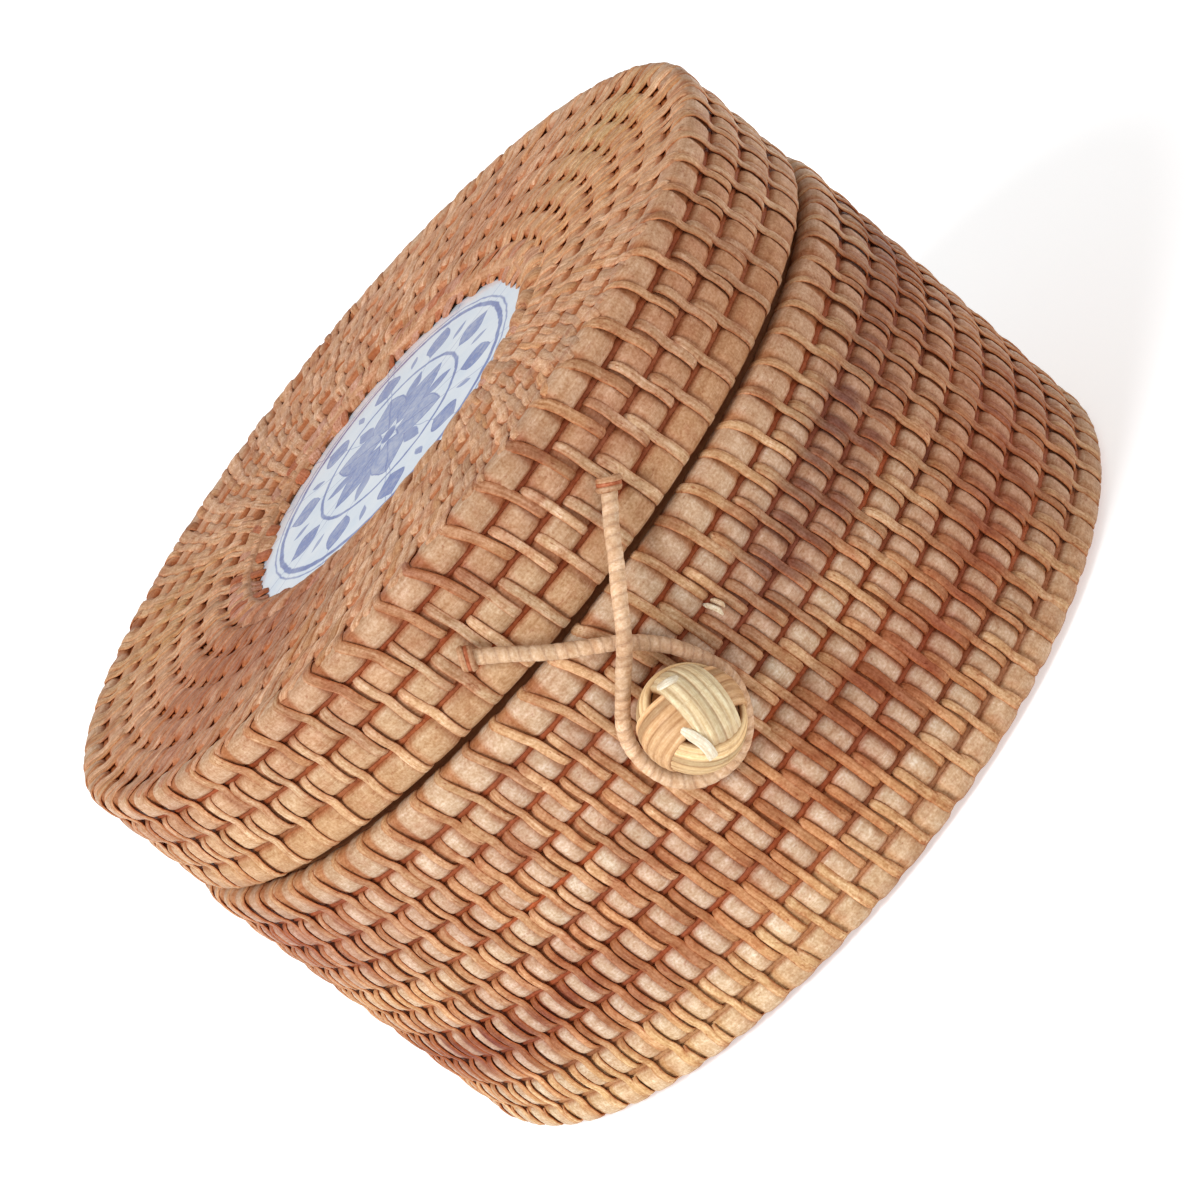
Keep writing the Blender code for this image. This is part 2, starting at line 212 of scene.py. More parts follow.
def make(name, points, face_sets, mat, tone=None, grain=None, smooth=45.0):
    """A mesh object from points in mm. face_sets is a list of index arrays."""
    mesh = bpy.data.meshes.new(name)
    points = np.asarray(points, float)
    mesh.vertices.add(len(points))
    mesh.vertices.foreach_set("co", (points * MM).astype(np.float32).ravel())
    loops = np.concatenate([f.ravel() for f in face_sets]).astype(np.int32)
    sizes = np.concatenate([np.full(len(f), f.shape[1]) for f in face_sets])
    starts = np.concatenate([[0], np.cumsum(sizes)[:-1]]).astype(np.int32)
    mesh.loops.add(len(loops))
    mesh.loops.foreach_set("vertex_index", loops)
    mesh.polygons.add(len(sizes))
    mesh.polygons.foreach_set("loop_start", starts)
    mesh.update(calc_edges=True)
    mesh.validate()
    if tone is not None:
        rgba = np.ones((len(points), 4), np.float32)
        rgba[:, :3] = np.clip(tone, 0, 1)
        at = mesh.attributes.new("tone", "FLOAT_COLOR", "POINT")
        at.data.foreach_set("color", rgba.ravel())
    if grain is not None:
        at = mesh.attributes.new("grain", "FLOAT_VECTOR", "POINT")
        at.data.foreach_set("vector", np.asarray(grain, np.float32).ravel())
    mesh.shade_smooth()
    if smooth:
        mesh.set_sharp_from_angle(angle=math.radians(smooth))
    mesh.materials.append(mat)
    obj = bpy.data.objects.new(name, mesh)
    bpy.context.scene.collection.objects.link(obj)
    return obj


def unit(v):
    return v / np.maximum(np.linalg.norm(v, axis=-1, keepdims=True), 1e-9)


# section of a split cane strip: a share of half the width, a share of the thickness
STRIP = np.array(
    [(-1.0, -0.62), (-0.82, -0.14), (-0.36, 0.0), (0.36, 0.0),
     (0.82, -0.14), (1.0, -0.62), (0.8, -1.15), (-0.8, -1.15)]
)


def bands(centre, outward, width, thick, section=STRIP):
    """Closed strips along centre (n, m, 3). Returns points, face sets, and for
    every point its strip, its step along it and its place across."""
    n, m, _ = centre.shape
    k = len(section)
    along = unit(np.gradient(centre, axis=1))
    normal = unit(outward - (outward * along).sum(-1, keepdims=True) * along)
    side = np.cross(along, normal)
    width = np.broadcast_to(width, (n, m))
    thick = np.broadcast_to(thick, (n, m))
    points = (
        centre[:, :, None, :]
        + side[:, :, None, :] * (section[:, 0] * width[..., None] / 2)[..., None]
        + normal[:, :, None, :] * (section[:, 1] * thick[..., None])[..., None]
    )
    quads = grid_faces(m, k, close_cols=True)
    cap0 = np.arange(k)[None, :]
    cap1 = (m - 1) * k + np.arange(k)[None, ::-1]
    if volume(points[0].reshape(-1, 3), quads) < 0:
        quads = quads[:, ::-1]
    else:
        cap0, cap1 = cap0[:, ::-1], cap1[:, ::-1]
    # a cap must run against the quads' own edge
    shift = (np.arange(n) * m * k)[:, None, None]
    quads = (quads[None] + shift).reshape(-1, 4)
    caps = (np.concatenate([cap0, cap1])[None] + shift).reshape(-1, k)
    return points, [quads, caps]


def caps_face_out(points, sets):
    """Turns end caps over if they run the same way as the quads beside them."""
    edges = set()
    for q in sets[0][:400]:
        for a, b in zip(q, np.roll(q, -1)):
            edges.add((int(a), int(b)))
    cap = sets[1][0]
    same = sum((int(a), int(b)) in edges for a, b in zip(cap, np.roll(cap, -1)))
    return [sets[0], sets[1][:, ::-1]] if same > 2 else sets


def resample(line, count):
    line = np.asarray(line, float)
    steps = np.r_[0, np.cumsum(np.linalg.norm(np.diff(line, axis=0), axis=1))]
    want = np.linspace(0, steps[-1], count)
    return np.stack([np.interp(want, steps, line[:, c]) for c in range(line.shape[1])], 1)


def smoothed(line, passes=3):
    line = np.array(line, float)
    for _ in range(passes):
        line[1:-1] = line[1:-1] * 0.5 + (line[:-2] + line[2:]) * 0.25
    return line


def curve_through(knots, count):
    """Evenly spaced points on a Catmull-Rom curve through the knots."""
    p = np.array(knots, float)
    p = np.vstack([2 * p[0] - p[1], p, 2 * p[-1] - p[-2]])
    dense = []
    for i in range(1, len(p) - 2):
        a, b, c, d = p[i - 1 : i + 3]
        t = np.linspace(0, 1, 24, endpoint=False)[:, None]
        dense.append(
            0.5 * (2 * b + (c - a) * t + (2 * a - 5 * b + 4 * c - d) * t**2
                   + (3 * b - a - 3 * c + d) * t**3)
        )
    dense.append(p[-2][None])
    return resample(np.concatenate(dense), count)


# ---- materials ----------------------------------------------------------------------
def shader_of(name, roughness, specular=0.10):
    mat = bpy.data.materials.new(name)
    mat.use_nodes = True
    tree = mat.node_tree
    out = tree.nodes["Principled BSDF"]
    out.inputs["Roughness"].default_value = roughness
    out.inputs["Metallic"].default_value = 0.0
    out.inputs["Specular IOR Level"].default_value = specular
    return mat, tree, out


def node(tree, kind, **values):
    made = tree.nodes.new(kind)
    for key, value in values.items():
        setattr(made, key, value)
    return made


def maths(tree, operation, a, b=None, c=None, clamp=False):
    made = node(tree, "ShaderNodeMath", operation=operation, use_clamp=clamp)
    for socket, value in zip(made.inputs, (a, b, c)):
        if value is None:
            continue
        if isinstance(value, (int, float)):
            socket.default_value = value
        else:
            tree.links.new(value, socket)
    return made.outputs[0]


def ranged(tree, value, low, high, to_low, to_high, smooth=False):
    made = node(tree, "ShaderNodeMapRange")
    if smooth:
        made.interpolation_type = "SMOOTHSTEP"
    tree.links.new(value, made.inputs["Value"])
    for key, v in (("From Min", low), ("From Max", high), ("To Min", to_low), ("To Max", to_high)):
        made.inputs[key].default_value = v
    return made.outputs[0]


def noise(tree, vector, scale, detail=3.0, rough=0.55):
    made = node(tree, "ShaderNodeTexNoise")
    made.inputs["Scale"].default_value = scale
    made.inputs["Detail"].default_value = detail
    made.inputs["Roughness"].default_value = rough
    tree.links.new(vector, made.inputs["Vector"])
    return made.outputs["Fac"]


def scaled(tree, vector, x, y, z):
    made = node(tree, "ShaderNodeVectorMath", operation="MULTIPLY")
    tree.links.new(vector, made.inputs[0])
    made.inputs[1].default_value = (x, y, z)
    return made.outputs[0]


def mixed(tree, factor, a, b, blend="MIX"):
    made = node(tree, "ShaderNodeMix", data_type="RGBA", blend_type=blend)
    for socket, value in ((made.inputs[0], factor), (made.inputs[6], a), (made.inputs[7], b)):
        if isinstance(value, (int, float)):
            socket.default_value = value
        elif isinstance(value, (tuple, list, np.ndarray)):
            socket.default_value = (*[float(x) for x in value[:3]], 1.0)
        else:
            tree.links.new(value, socket)
    return made.outputs[2]


def cane(name, roughness=0.52, fibre=(0.10, 2.4), strength=0.30, mottle=0.16, specks=0.5, bump=0.35):
    """Split cane: fine fibres along the strip, soft mottling and small pores."""
    mat, tree, out = shader_of(name, roughness)
    tone = node(tree, "ShaderNodeAttribute", attribute_name="tone").outputs["Color"]
    grain = node(tree, "ShaderNodeAttribute", attribute_name="grain").outputs["Vector"]
    place = node(tree, "ShaderNodeTexCoord").outputs["Object"]
    lines = noise(tree, scaled(tree, grain, fibre[0], fibre[1], 7.3), 1.0, 4.0, 0.6)
    coarse = noise(tree, scaled(tree, grain, 0.05, 0.9, 3.1), 1.0, 2.0, 0.5)
    cloud = noise(tree, scaled(tree, place, 420, 420, 420), 1.0, 3.0, 0.6)
    grit = noise(tree, scaled(tree, place, 2300, 2300, 2300), 1.0, 2.0, 0.5)
    shade = ranged(tree, lines, 0.3, 0.7, 1 - strength, 1 + strength * 0.55)
    shade = maths(tree, "MULTIPLY", shade, ranged(tree, coarse, 0.3, 0.7, 0.92, 1.07))
    shade = maths(tree, "MULTIPLY", shade, ranged(tree, cloud, 0.3, 0.7, 1 - mottle, 1 + mottle * 0.7))
    shade = maths(tree, "MULTIPLY", shade, ranged(tree, grit, 0.3, 0.7, 1 - mottle * 1.1, 1 + mottle * 0.9))
    # its dark parts turn redder and its light parts paler
    grey = node(tree, "ShaderNodeCombineColor")
    for k, power in enumerate((0.75, 1.15, 1.6)):
        tree.links.new(maths(tree, "POWER", shade, power), grey.inputs[k])
    colour = mixed(tree, 1.0, tone, grey.outputs[0], "MULTIPLY")
    pores = ranged(tree, noise(tree, scaled(tree, grain, 0.8, 2.6, 5.7), 1.0, 2.0, 0.7), 0.60, 0.72, 0.0, specks)
    colour = mixed(tree, pores, colour, mixed(tree, 1.0, colour, lin(200, 130, 100), "MULTIPLY"))
    # soft reddish bruises, a few millimetres across
    bruise = ranged(tree, noise(tree, scaled(tree, place, 260, 260, 260), 1.0, 4.0, 0.65), 0.50, 0.66, 0.0, specks * 0.9)
    colour = mixed(tree, bruise, colour, mixed(tree, 1.0, colour, lin(236, 196, 176), "MULTIPLY"))
    tree.links.new(colour, out.inputs["Base Color"])
    tree.links.new(ranged(tree, lines, 0.25, 0.75, roughness + 0.10, roughness - 0.08), out.inputs["Roughness"])
    height = maths(tree, "ADD", lines, maths(tree, "MULTIPLY", grit, 0.5))
    lift = node(tree, "ShaderNodeBump")
    lift.inputs["Strength"].default_value = bump
    lift.inputs["Distance"].default_value = 0.00025
    tree.links.new(height, lift.inputs["Height"])
    tree.links.new(lift.outputs[0], out.inputs["Normal"])
    return mat


STRIP_MAT = cane("binding_cane", 0.50, mottle=0.22, specks=0.7)
COIL_MAT = cane("coil_cane", 0.46, fibre=(0.16, 1.5), strength=0.18, mottle=0.20, specks=0.45, bump=0.28)
INNER_MAT = cane("inner_cane", 0.62, strength=0.26)
STRAW_MAT = cane("knot_straw", 0.34, fibre=(0.22, 3.2), strength=0.26, mottle=0.08, specks=0.15, bump=0.4)
CORD_MAT = cane("cord_cane", 0.55, fibre=(0.9, 1.4), strength=0.22, mottle=0.12, specks=0.3, bump=0.4)
BAMBOO_MAT = cane("bamboo_strip", 0.42, fibre=(0.02, 1.6), strength=0.26, mottle=0.1, specks=0.2, bump=0.25)


# ---- coils ----------------------------------------------------------------------------
POWER = 3.1  # how square a coil's section is


def oval(count, power=POWER):
    a = np.linspace(0, 2 * np.pi, count, endpoint=False)
    c, s = np.cos(a), np.sin(a)
    return (
        np.sign(c) * np.abs(c) ** (2 / power),
        np.sign(s) * np.abs(s) ** (2 / power),
        a,
    )


WARP = 2.3  # degrees: stitches stand wider apart on the left than on the right
WARP_AT = -62.0


def warp(u):
    return u + WARP * np.sin(np.radians(u - WARP_AT))


def unwarp(az):
    return az - WARP * np.sin(np.radians(az - WARP_AT - WARP * np.sin(np.radians(az - WARP_AT))))


def wave(az, size, seed, low=2, high=9):
    """A smooth closed wave round the axis, for hand-made unevenness."""
    r = np.random.default_rng(seed)
    out = np.zeros_like(az, float)
    for k in range(low, high):
        out += r.normal() / (k - low + 2) * np.sin(np.radians(az * k) + r.uniform(0, 6.28))
    return out * size


def coil(name, radius, half_r, low, high, segs, sides, colour, mat, pinch=None, seed=0,
         kind="wall", power=POWER, wobble=0.10, border=None, cover=0.62, crest=False, last=False):
    """One coil: a ring of rounded section. Strips hide the share `cover` of it and
    draw it in there, so the windows between them stand out as small pillows. A
    crest is a coil whose upper side is open to view, and the last one shows its
    lower or inner side."""
    az = np.linspace(0, 360, segs, endpoint=False)
    x, y, a = oval(sides, power)
    mid, rise = (low + high) / 2, (high - low) / 2
    pillow = np.ones(segs)
    squeeze = np.zeros(segs)
    if pinch:
        count, phase, depth = pinch
        away = np.arccos(np.cos(np.radians(count * (unwarp(az) - phase)))) / np.pi
        first = cover - 0.06
        reach = min(1.35 / (math.pi * radius / count), 0.96 - first)
        pillow = np.sin(np.clip((away - first) / reach, 0, 1) * np.pi / 2)
        uneven = 1 + 0.25 * wave(az, 1.0, seed + 5, 20, 40)
        squeeze = depth * (1 - pillow) * np.clip(uneven, 0.5, 1.5)
    mid_r = radius + wave(az, wobble, seed + 1)
    mid_z = mid + wave(az, wobble * 0.8, seed + 2)
    upright = kind in ("wall", "foot")
    if upright:
        r = mid_r[:, None] + x * (half_r - squeeze[:, None])
        z = mid_z[:, None] + y * (rise - 0.30 * squeeze[:, None])
    else:
        r = mid_r[:, None] + x * (half_r - 0.3 * squeeze[:, None])
        z = mid_z[:, None] + y * (rise - squeeze[:, None])
    t = np.radians(az)[:, None]
    points = np.stack([r * np.sin(t), -r * np.cos(t), z], -1)
    faces = grid_faces(segs, sides, True, True)
    flat = points.reshape(-1, 3)
    if volume(flat, faces) < 0:
        faces = faces[:, ::-1]
    wide = np.broadcast_to(az[:, None], r.shape)
    tone = np.broadcast_to(colour, (*r.shape, 3)).copy()
    tone *= (1 + 0.07 * wave(az, 1.0, seed + 3, 3, 60))[:, None, None]
    # painted shade: under and beside the strips the coil takes the darker border colour
    under = np.broadcast_to(colour * 0.8 if border is None else border, (*r.shape, 3))
    if upright:
        tone = stained(tone, wide, z, 6, 1.0)
        under = stained(under, wide, z, 5, 1.0)
        deep = np.clip((np.abs(y) - 0.76) / 0.22, 0, 1)
        if crest:
            deep = np.where(y > 0, np.clip((-x - 0.55) / 0.4, 0, 1), deep)
        if last:
            deep = np.where(y < 0, 0.0, deep)
    else:
        amount = 1.0 if kind == "top" else 0.0
        tone = stained_top(tone, points[..., 0], points[..., 1], amount)
        under = stained_top(under, points[..., 0], points[..., 1], amount)
        deep = np.clip((np.abs(x) - (0.34 if kind == "top" else 0.45)) / 0.34, 0, 1)
        if last:
            deep = np.where(x < 0, deep * 0.35, deep)
    share = (pillow**1.5)[:, None, None]
    if upright:
        # painted highlight: the windows are a little paler at the middle of their height
        tone = tone * (1.0 + 0.06 * share * (1 - np.clip(np.abs(y) / 0.7, 0, 1))[None, :, None])
    tone = under * (1 - share) + tone * share
    deep = np.broadcast_to(deep, r.shape)[..., None] * 0.92
    deep = deep * (0.86 + 0.14 * wave(az, 1.0, seed + 9, 6, 70))[:, None, None].clip(0.5, 1.08)
    # painted shade: towards the grooves the coil is mixed into the groove's shade colour, on the lid's top into the
    # holes' shade colour
    tone = tone * (1 - deep) + (HOLE_SHADE if kind == "top" else GROOVE_SHADE) * deep
    grain = np.stack(
        [np.broadcast_to(t * radius, r.shape), np.broadcast_to(a * 3.0, r.shape),
         np.full(r.shape, seed * 1.37)], -1
    )
    return make(name, flat, [faces], mat, tone.reshape(-1, 3), grain.reshape(-1, 3), smooth=None)


def core(name, rings, colour, mat, body, kind="wall"):
    """Slim rings deep in the grooves between coils: the turns of cane that close
    the weave there."""
    points, faces, tones, grains, count = [], [], [], [], 0
    segs, sides = 300, 8
    x, y, a = oval(sides, 2.0)
    az = np.linspace(0, 360, segs, endpoint=False)
    t = np.radians(az)[:, None]
    for k, (mid_r, half_r, mid_z, half_z) in enumerate(rings):
        ripple = 0.08 * np.cos(np.radians(az * 76))[:, None] + wave(az, 0.08, 1700 + k, 5, 30)[:, None]
        r = mid_r + x * half_r + (ripple if kind == "wall" else 0 * ripple)
        z = mid_z + y * half_z + (ripple if kind == "top" else 0 * ripple)
        p = np.stack([r * np.sin(t), -r * np.cos(t), z], -1)
        f = grid_faces(segs, sides, True, True)
        if volume(p.reshape(-1, 3), f) < 0:
            f = f[:, ::-1]
        tone = np.broadcast_to(colour, (segs, sides, 3)) * (1 + wave(az, 0.26, 1800 + k, 5, 60))[:, None, None]
        if kind == "wall":
            tone = stained(tone, np.broadcast_to(az[:, None], r.shape), z, 5, 0.5)
        points.append(p.reshape(-1, 3))
        faces.append(f + count)
        tones.append(tone.reshape(-1, 3))
        grains.append(np.stack([t * mid_r + 0 * r, np.broadcast_to(a * 2, r.shape), np.full(r.shape, k)], -1).reshape(-1, 3))
        count += segs * sides
    piece = make(name, np.vstack(points), [np.vstack(faces)], mat, np.vstack(tones), np.vstack(grains), smooth=None)
    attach(piece, body)
    return piece


def outline(mid_r, half_r, mid_z, half_z, start, end, count=40, power=POWER):
    """Part of a coil's section, clockwise from start to end degrees (0: outwards,
    90: up)."""
    a = np.radians(np.linspace(start, end, count))
    c, s = np.cos(a), np.sin(a)
    r = mid_r + np.sign(c) * np.abs(c) ** (2 / power) * half_r
    z = mid_z + np.sign(s) * np.abs(s) ** (2 / power) * half_z
    return np.stack([r, z], 1)


def over_pair(first, second, leave, take, dip=0.35, powers=(POWER, POWER)):
    """The way of a strip over two neighbouring coils, clockwise round the section:
    over the first, across the groove between them, and over the second. Each coil
    is (mid_r, half_r, mid_z, half_z, facing) where facing is the angle that its
    crest faces. The strip dips a little between them."""
    r1, h1, z1, v1, f1 = first
    r2, h2, z2, v2, f2 = second
    a = outline(r1, h1, z1, v1, f1 + leave, f1 - 22, 30, powers[0])
    b = outline(r2, h2, z2, v2, f2 + 22, f2 - take, 30, powers[1])
    p, q = a[-1], b[0]
    t = np.linspace(0, 1, 12)[1:-1, None]
    chord = p + (q - p) * t
    along = unit((q - p)[None])[0]
    inward = np.array([along[1], -along[0]])
    chord = chord + inward * dip * np.sin(np.pi * t)
    return np.concatenate([a, chord, b])


def offset(line, by):
    """The line moved out along its own normal."""
    t = unit(np.gradient(line, axis=0))
    return line + np.stack([-t[:, 1], t[:, 0]], 1) * by


def slant(share, start=0.0):
    """How a strip's lean grows along it: quickly at first, then it hangs straight."""
    return 1 - np.exp(-2.0 * np.clip(share - start, 0, None) / (1 - start))


def stitches(name, line, count, phase, lean, width, mat, palette, kind="wall", steps=18,
             lift=0.16, thick=0.38, jitter=1.0, seed=0, stain=1.0, fade=0.45, ref=None,
             keep=None, curl=0.0, ends=(0.0, 0.0), edge=0.72, middle=0.5, start=0.0,
             even=False, spread=0.06, flow=None):
    """A row of cane strips round the axis, all along the same (radius, height)
    line. lean is how far a strip moves round from its start to its end, in mm, or
    a function of the angle; it is measured from the strip's middle share."""
    local = np.random.default_rng(900 + seed)
    line = resample(smoothed(resample(line, 80), 6), steps)
    line = offset(line, lift)
    tangent = unit(np.gradient(line, axis=0))
    normal = np.stack([-tangent[:, 1], tangent[:, 0]], 1)
    steps_at = np.r_[0, np.cumsum(np.linalg.norm(np.diff(line, axis=0), axis=1))]
    share = steps_at / steps_at[-1]
    ref = ref or float(line[:, 0].mean())
    u = np.arange(count) * 360.0 / count + phase
    if keep is not None:
        u = u[keep(warp(u))]
    n = len(u)
    pitch = 360.0 / count
    shift = local.normal(0, 0.032, n) * pitch * jitter
    az0 = (u if even else warp(u)) + shift
    tilt = lean(az0) if callable(lean) else np.full(n, float(lean))
    tilt = tilt * (1 + 0.14 * jitter * local.normal(0, 1, n)) + 0.14 * jitter * local.normal(0, 1, n)
    bend = local.normal(0, 0.12, n) * jitter + curl
    if flow is not None:
        way = flow(share) - flow(np.array(middle))
    elif kind in ("wall", "foot"):
        way = slant(share, start) - slant(np.array(middle), start)
    else:
        way = share - middle
    mm = tilt[:, None] * way + bend[:, None] * (np.sin(np.pi * share) - 0.6)
    az = az0[:, None] + np.degrees(mm / ref)
    if ends[0] or ends[1]:
        cut = local.uniform(ends[0], ends[1], n)
        share_cut = share[None, :] * (1 - cut[:, None])
        r_line = np.interp(share_cut.ravel(), share, line[:, 0]).reshape(n, steps)
        z_line = np.interp(share_cut.ravel(), share, line[:, 1]).reshape(n, steps)
    else:
        r_line = np.broadcast_to(line[:, 0], (n, steps))
        z_line = np.broadcast_to(line[:, 1], (n, steps))
    push = local.normal(0, 0.045, n)[:, None] * jitter
    push = push - (lift + 0.12) * (np.clip(1 - share / 0.07, 0, 1) + np.clip((share - 0.93) / 0.07, 0, 1))
    r_line = r_line + push * normal[:, 0]
    z_line = z_line + push * normal[:, 1]
    t = np.radians(az)
    centre = np.stack([r_line * np.sin(t), -r_line * np.cos(t), z_line], -1)
    outward = np.stack(
        [normal[:, 0] * np.sin(t), -normal[:, 0] * np.cos(t), np.broadcast_to(normal[:, 1], t.shape)], -1
    )
    widths = width * (1 + 0.09 * jitter * local.normal(0, 1, n))[:, None]
    taper = 1 - 0.25 * np.clip(1 - share / 0.12, 0, 1) - 0.25 * np.clip((share - 0.88) / 0.12, 0, 1)
    widths = widths * taper * (1 + 0.04 * np.sin(9 * share + local.uniform(0, 6, n)[:, None]))
    points, sets = bands(centre, outward, widths, thick)
    sets = caps_face_out(points, sets)
    picks = local.choice(len(palette), n, p=np.array([w for _, w in palette]) / sum(w for _, w in palette))
    base = np.array([c for c, _ in palette])[picks]
    base = base * (1 + spread * local.normal(0, 1, n))[:, None]
    tone = np.broadcast_to(base[:, None, :], (n, steps, 3)).copy()
    if kind in ("wall", "foot"):
        own = np.clip(stain * (1 + 0.22 * local.normal(0, 1, n)), 0.2, 1.3)[:, None]
        tone = stained(tone, az, z_line, 5, own)
    elif kind == "top":
        own = np.clip(stain * (1 + 0.25 * local.normal(0, 1, n)), 0.2, 1.3)[:, None]
        tone = stained_top(tone, centre[..., 0], centre[..., 1], own)
    # painted shade: each strip darkens towards its ends, where it dives into a groove
    dark = np.clip(1 - share / 0.14, 0, 1) + np.clip((share - 0.86) / 0.14, 0, 1)
    dark = (dark * fade)[None, :, None]
    tone = tone * (1 - dark) + GROOVE_SHADE * dark
    k = len(STRIP)
    tone = np.broadcast_to(tone[:, :, None, :], (n, steps, k, 3)).copy()
    # painted shade along the strip's sides and underside
    rim = np.array([1.0, 0.26, 0.0, 0.0, 0.26, 1.0, 1.0, 1.0]) * edge
    tone = tone * (1 - rim[:, None]) + OUTLINE_SHADE * rim[:, None]
    grain = np.zeros((n, steps, k, 3))
    grain[..., 0] = (steps_at[None, :] + local.uniform(0, 400, n)[:, None])[:, :, None]
    grain[..., 1] = STRIP[:, 0] * width / 2
    grain[..., 2] = local.uniform(0, 60, n)[:, None, None]
    return make(name, points.reshape(-1, 3), sets, mat, tone.reshape(-1, 3), grain.reshape(-1, 3), smooth=60)


# ---- the canister's wall -----------------------------------------------------------------
PER_ROW = 76
SHIFT = 1.62  # degrees each row's strips stand further round than the row above's

wall = []  # (mid_r, half_r, mid_z, half_z)
high = BODY_H
for row, tall in enumerate(BODY_ROWS):
    low = high - tall
    outer = R_TOP + (R_BOTTOM - R_TOP) * row / 9
    top = high - (0.25 if row == 0 else 0.12)
    bottom = low + (0.60 if row == 9 else 0.12)
    wall.append((outer - HALF, 2.85, (top + bottom) / 2, (top - bottom) / 2))
    high = low


def lean_first(az):
    return 2.0 + 1.6 * np.sin(np.radians(np.clip(az, -70, 70) * 1.2))


def lean_wall(az):
    return 1.0 + 0.7 * np.sin(np.radians(az))


phases = [0.9]
for row in range(1, 10):
    phases.append(phases[-1] + SHIFT + float(rng.normal(0, 0.12)))


def degrees(mm, radius=80.0):
    return np.degrees(mm / radius)


def between(before, after, lean_before, lean_after, az, radius=80.0, middle=0.5, start=0.0):
    """The angle, before warping, of the middle of the strips that cross a coil:
    those that come down to it and those that start on it."""
    found = []
    if before is not None:
        grow = slant(np.array(0.75)) - slant(np.array(0.5))
        found.append(before + degrees(lean_before(az) * grow, radius))
    if after is not None:
        grow = slant(np.array(0.25 + 0.5 * start), start) - slant(np.array(middle), start)
        found.append(after + degrees(lean_after(az) * grow, radius))
    return sum(found) / len(found)


for row, (mid_r, half_r, mid_z, half_z) in enumerate(wall):
    segs = PER_ROW * 12
    az = np.linspace(0, 360, segs, endpoint=False)
    signed = (az + 180) % 360 - 180
    at = between(
        phases[row - 1] if row else None, phases[row],
        lean_first if row == 1 else lean_wall, lean_wall if row else lean_first, signed,
        middle=0.5 if row else 0.62, start=0.0 if row else 0.2,
    )
    piece = coil(
        f"coil_wall_{row + 1:02d}", mid_r, half_r, mid_z - half_z, mid_z + half_z,
        segs, 18, BODY_WINDOWS[row], COIL_MAT,
        (PER_ROW, at, 0.62 if row else 0.55), seed=row * 7, kind="wall" if row < 9 else "foot",
        # border: painted shade on the coil where the strips cover it
        border=BODY_STRIPS[row] * 0.35 + OUTLINE_SHADE * 0.5,
        cover=(0.30 if row == 0 else 0.30 if row == 9 else 0.50), crest=row == 0,
    )
    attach(piece, "canister")
    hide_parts(f"wall_coil_{row + 1:02d}")

for row in range(9):
    up, down = wall[row], wall[row + 1]
    if row == 0:
        # from inside the mouth, over its edge
        line = over_pair((*up, 0), (*down, 0), 128, 74)
    else:
        line = over_pair((*up, 0), (*down, 0), 76, 76 if row < 8 else 40)
    base_tone = BODY_STRIPS[row]
    piece = stitches(
        f"stitches_wall_{row + 1:02d}", line, PER_ROW, phases[row], lean_wall if row else lean_first, 1.68,
        STRIP_MAT, [(base_tone, 4), (base_tone * 1.10, 2), (base_tone * 0.88, 2)], seed=row,
        steps=24 if row == 0 else 18, ref=80.0, middle=0.62 if row == 0 else 0.5,
        start=0.2 if row == 0 else 0.0,
    )
    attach(piece, "canister")

# the core rings are real filling of the weave, coloured dark red-brown as painted shade deep in the grooves
core(
    "core_wall", [(r + 0.65, 1.15, z - v - 0.12, 0.95) for r, h, z, v in wall[:-1]],
    lin(152, 74, 38), COIL_MAT, "canister",
)

# the last row wraps round the foot to the base
foot = wall[9]
base = [(r, 2.75, 3.05, 2.45) for r in BASE_RADII]
line = over_pair((*foot, -10), (*base[0], -90), 58, 74, 0.25)
line[:, 1] = np.maximum(line[:, 1], 0.40)
piece = stitches(
    "stitches_wall_10", line, PER_ROW, phases[9] - 0.9, 1.4, 1.7, STRIP_MAT,
    [(BODY_STRIPS[9], 3), (BODY_STRIPS[9] * 1.1, 2), (BODY_STRIPS[9] * 0.85, 1)], kind="foot", seed=40,
    steps=24, ref=80.0, jitter=1.3, middle=0.3,
)
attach(piece, "canister")

# ---- the base --------------------------------------------------------------------------
for turn, (mid_r, half_r, mid_z, half_z) in enumerate(base):
    piece = coil(
        f"coil_base_{turn + 1:02d}", mid_r, half_r, mid_z - half_z, mid_z + half_z,
        max(64, int(mid_r * 3.4)), 14, TAN * 0.98, INNER_MAT, seed=100 + turn, kind="floor", wobble=0.07,
    )
    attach(piece, "canister")
    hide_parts(f"base_coil_{turn + 1:02d}")

UNDER = [(TAN, 4), (TAN * 1.12, 2), (PINK_TAN, 2), (TAN * 0.8, 2), (HONEY, 1)]
for turn in range(9):
    count = max(14, int(round(2 * math.pi * (BASE_RADII[turn] - 3.2) / 7.6)))
    a, b = base[turn], base[turn + 1]
    under = over_pair((*a, -90), (*b, -90), 70, 70, 0.3)
    inside = over_pair((*b, 90), (*a, 90), 70, 70, 0.3)
    for word, line in (("under", under), ("inside", inside)):
        piece = stitches(
            f"stitches_base_{word}_{turn + 1:02d}", line, count, turn * 3.1, 1.4, 2.3,
            INNER_MAT, UNDER, kind="plain", seed=60 + turn + (20 if word == "inside" else 0),
            steps=12, lift=0.2, thick=0.5, jitter=0.9,
        )
        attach(piece, "canister")


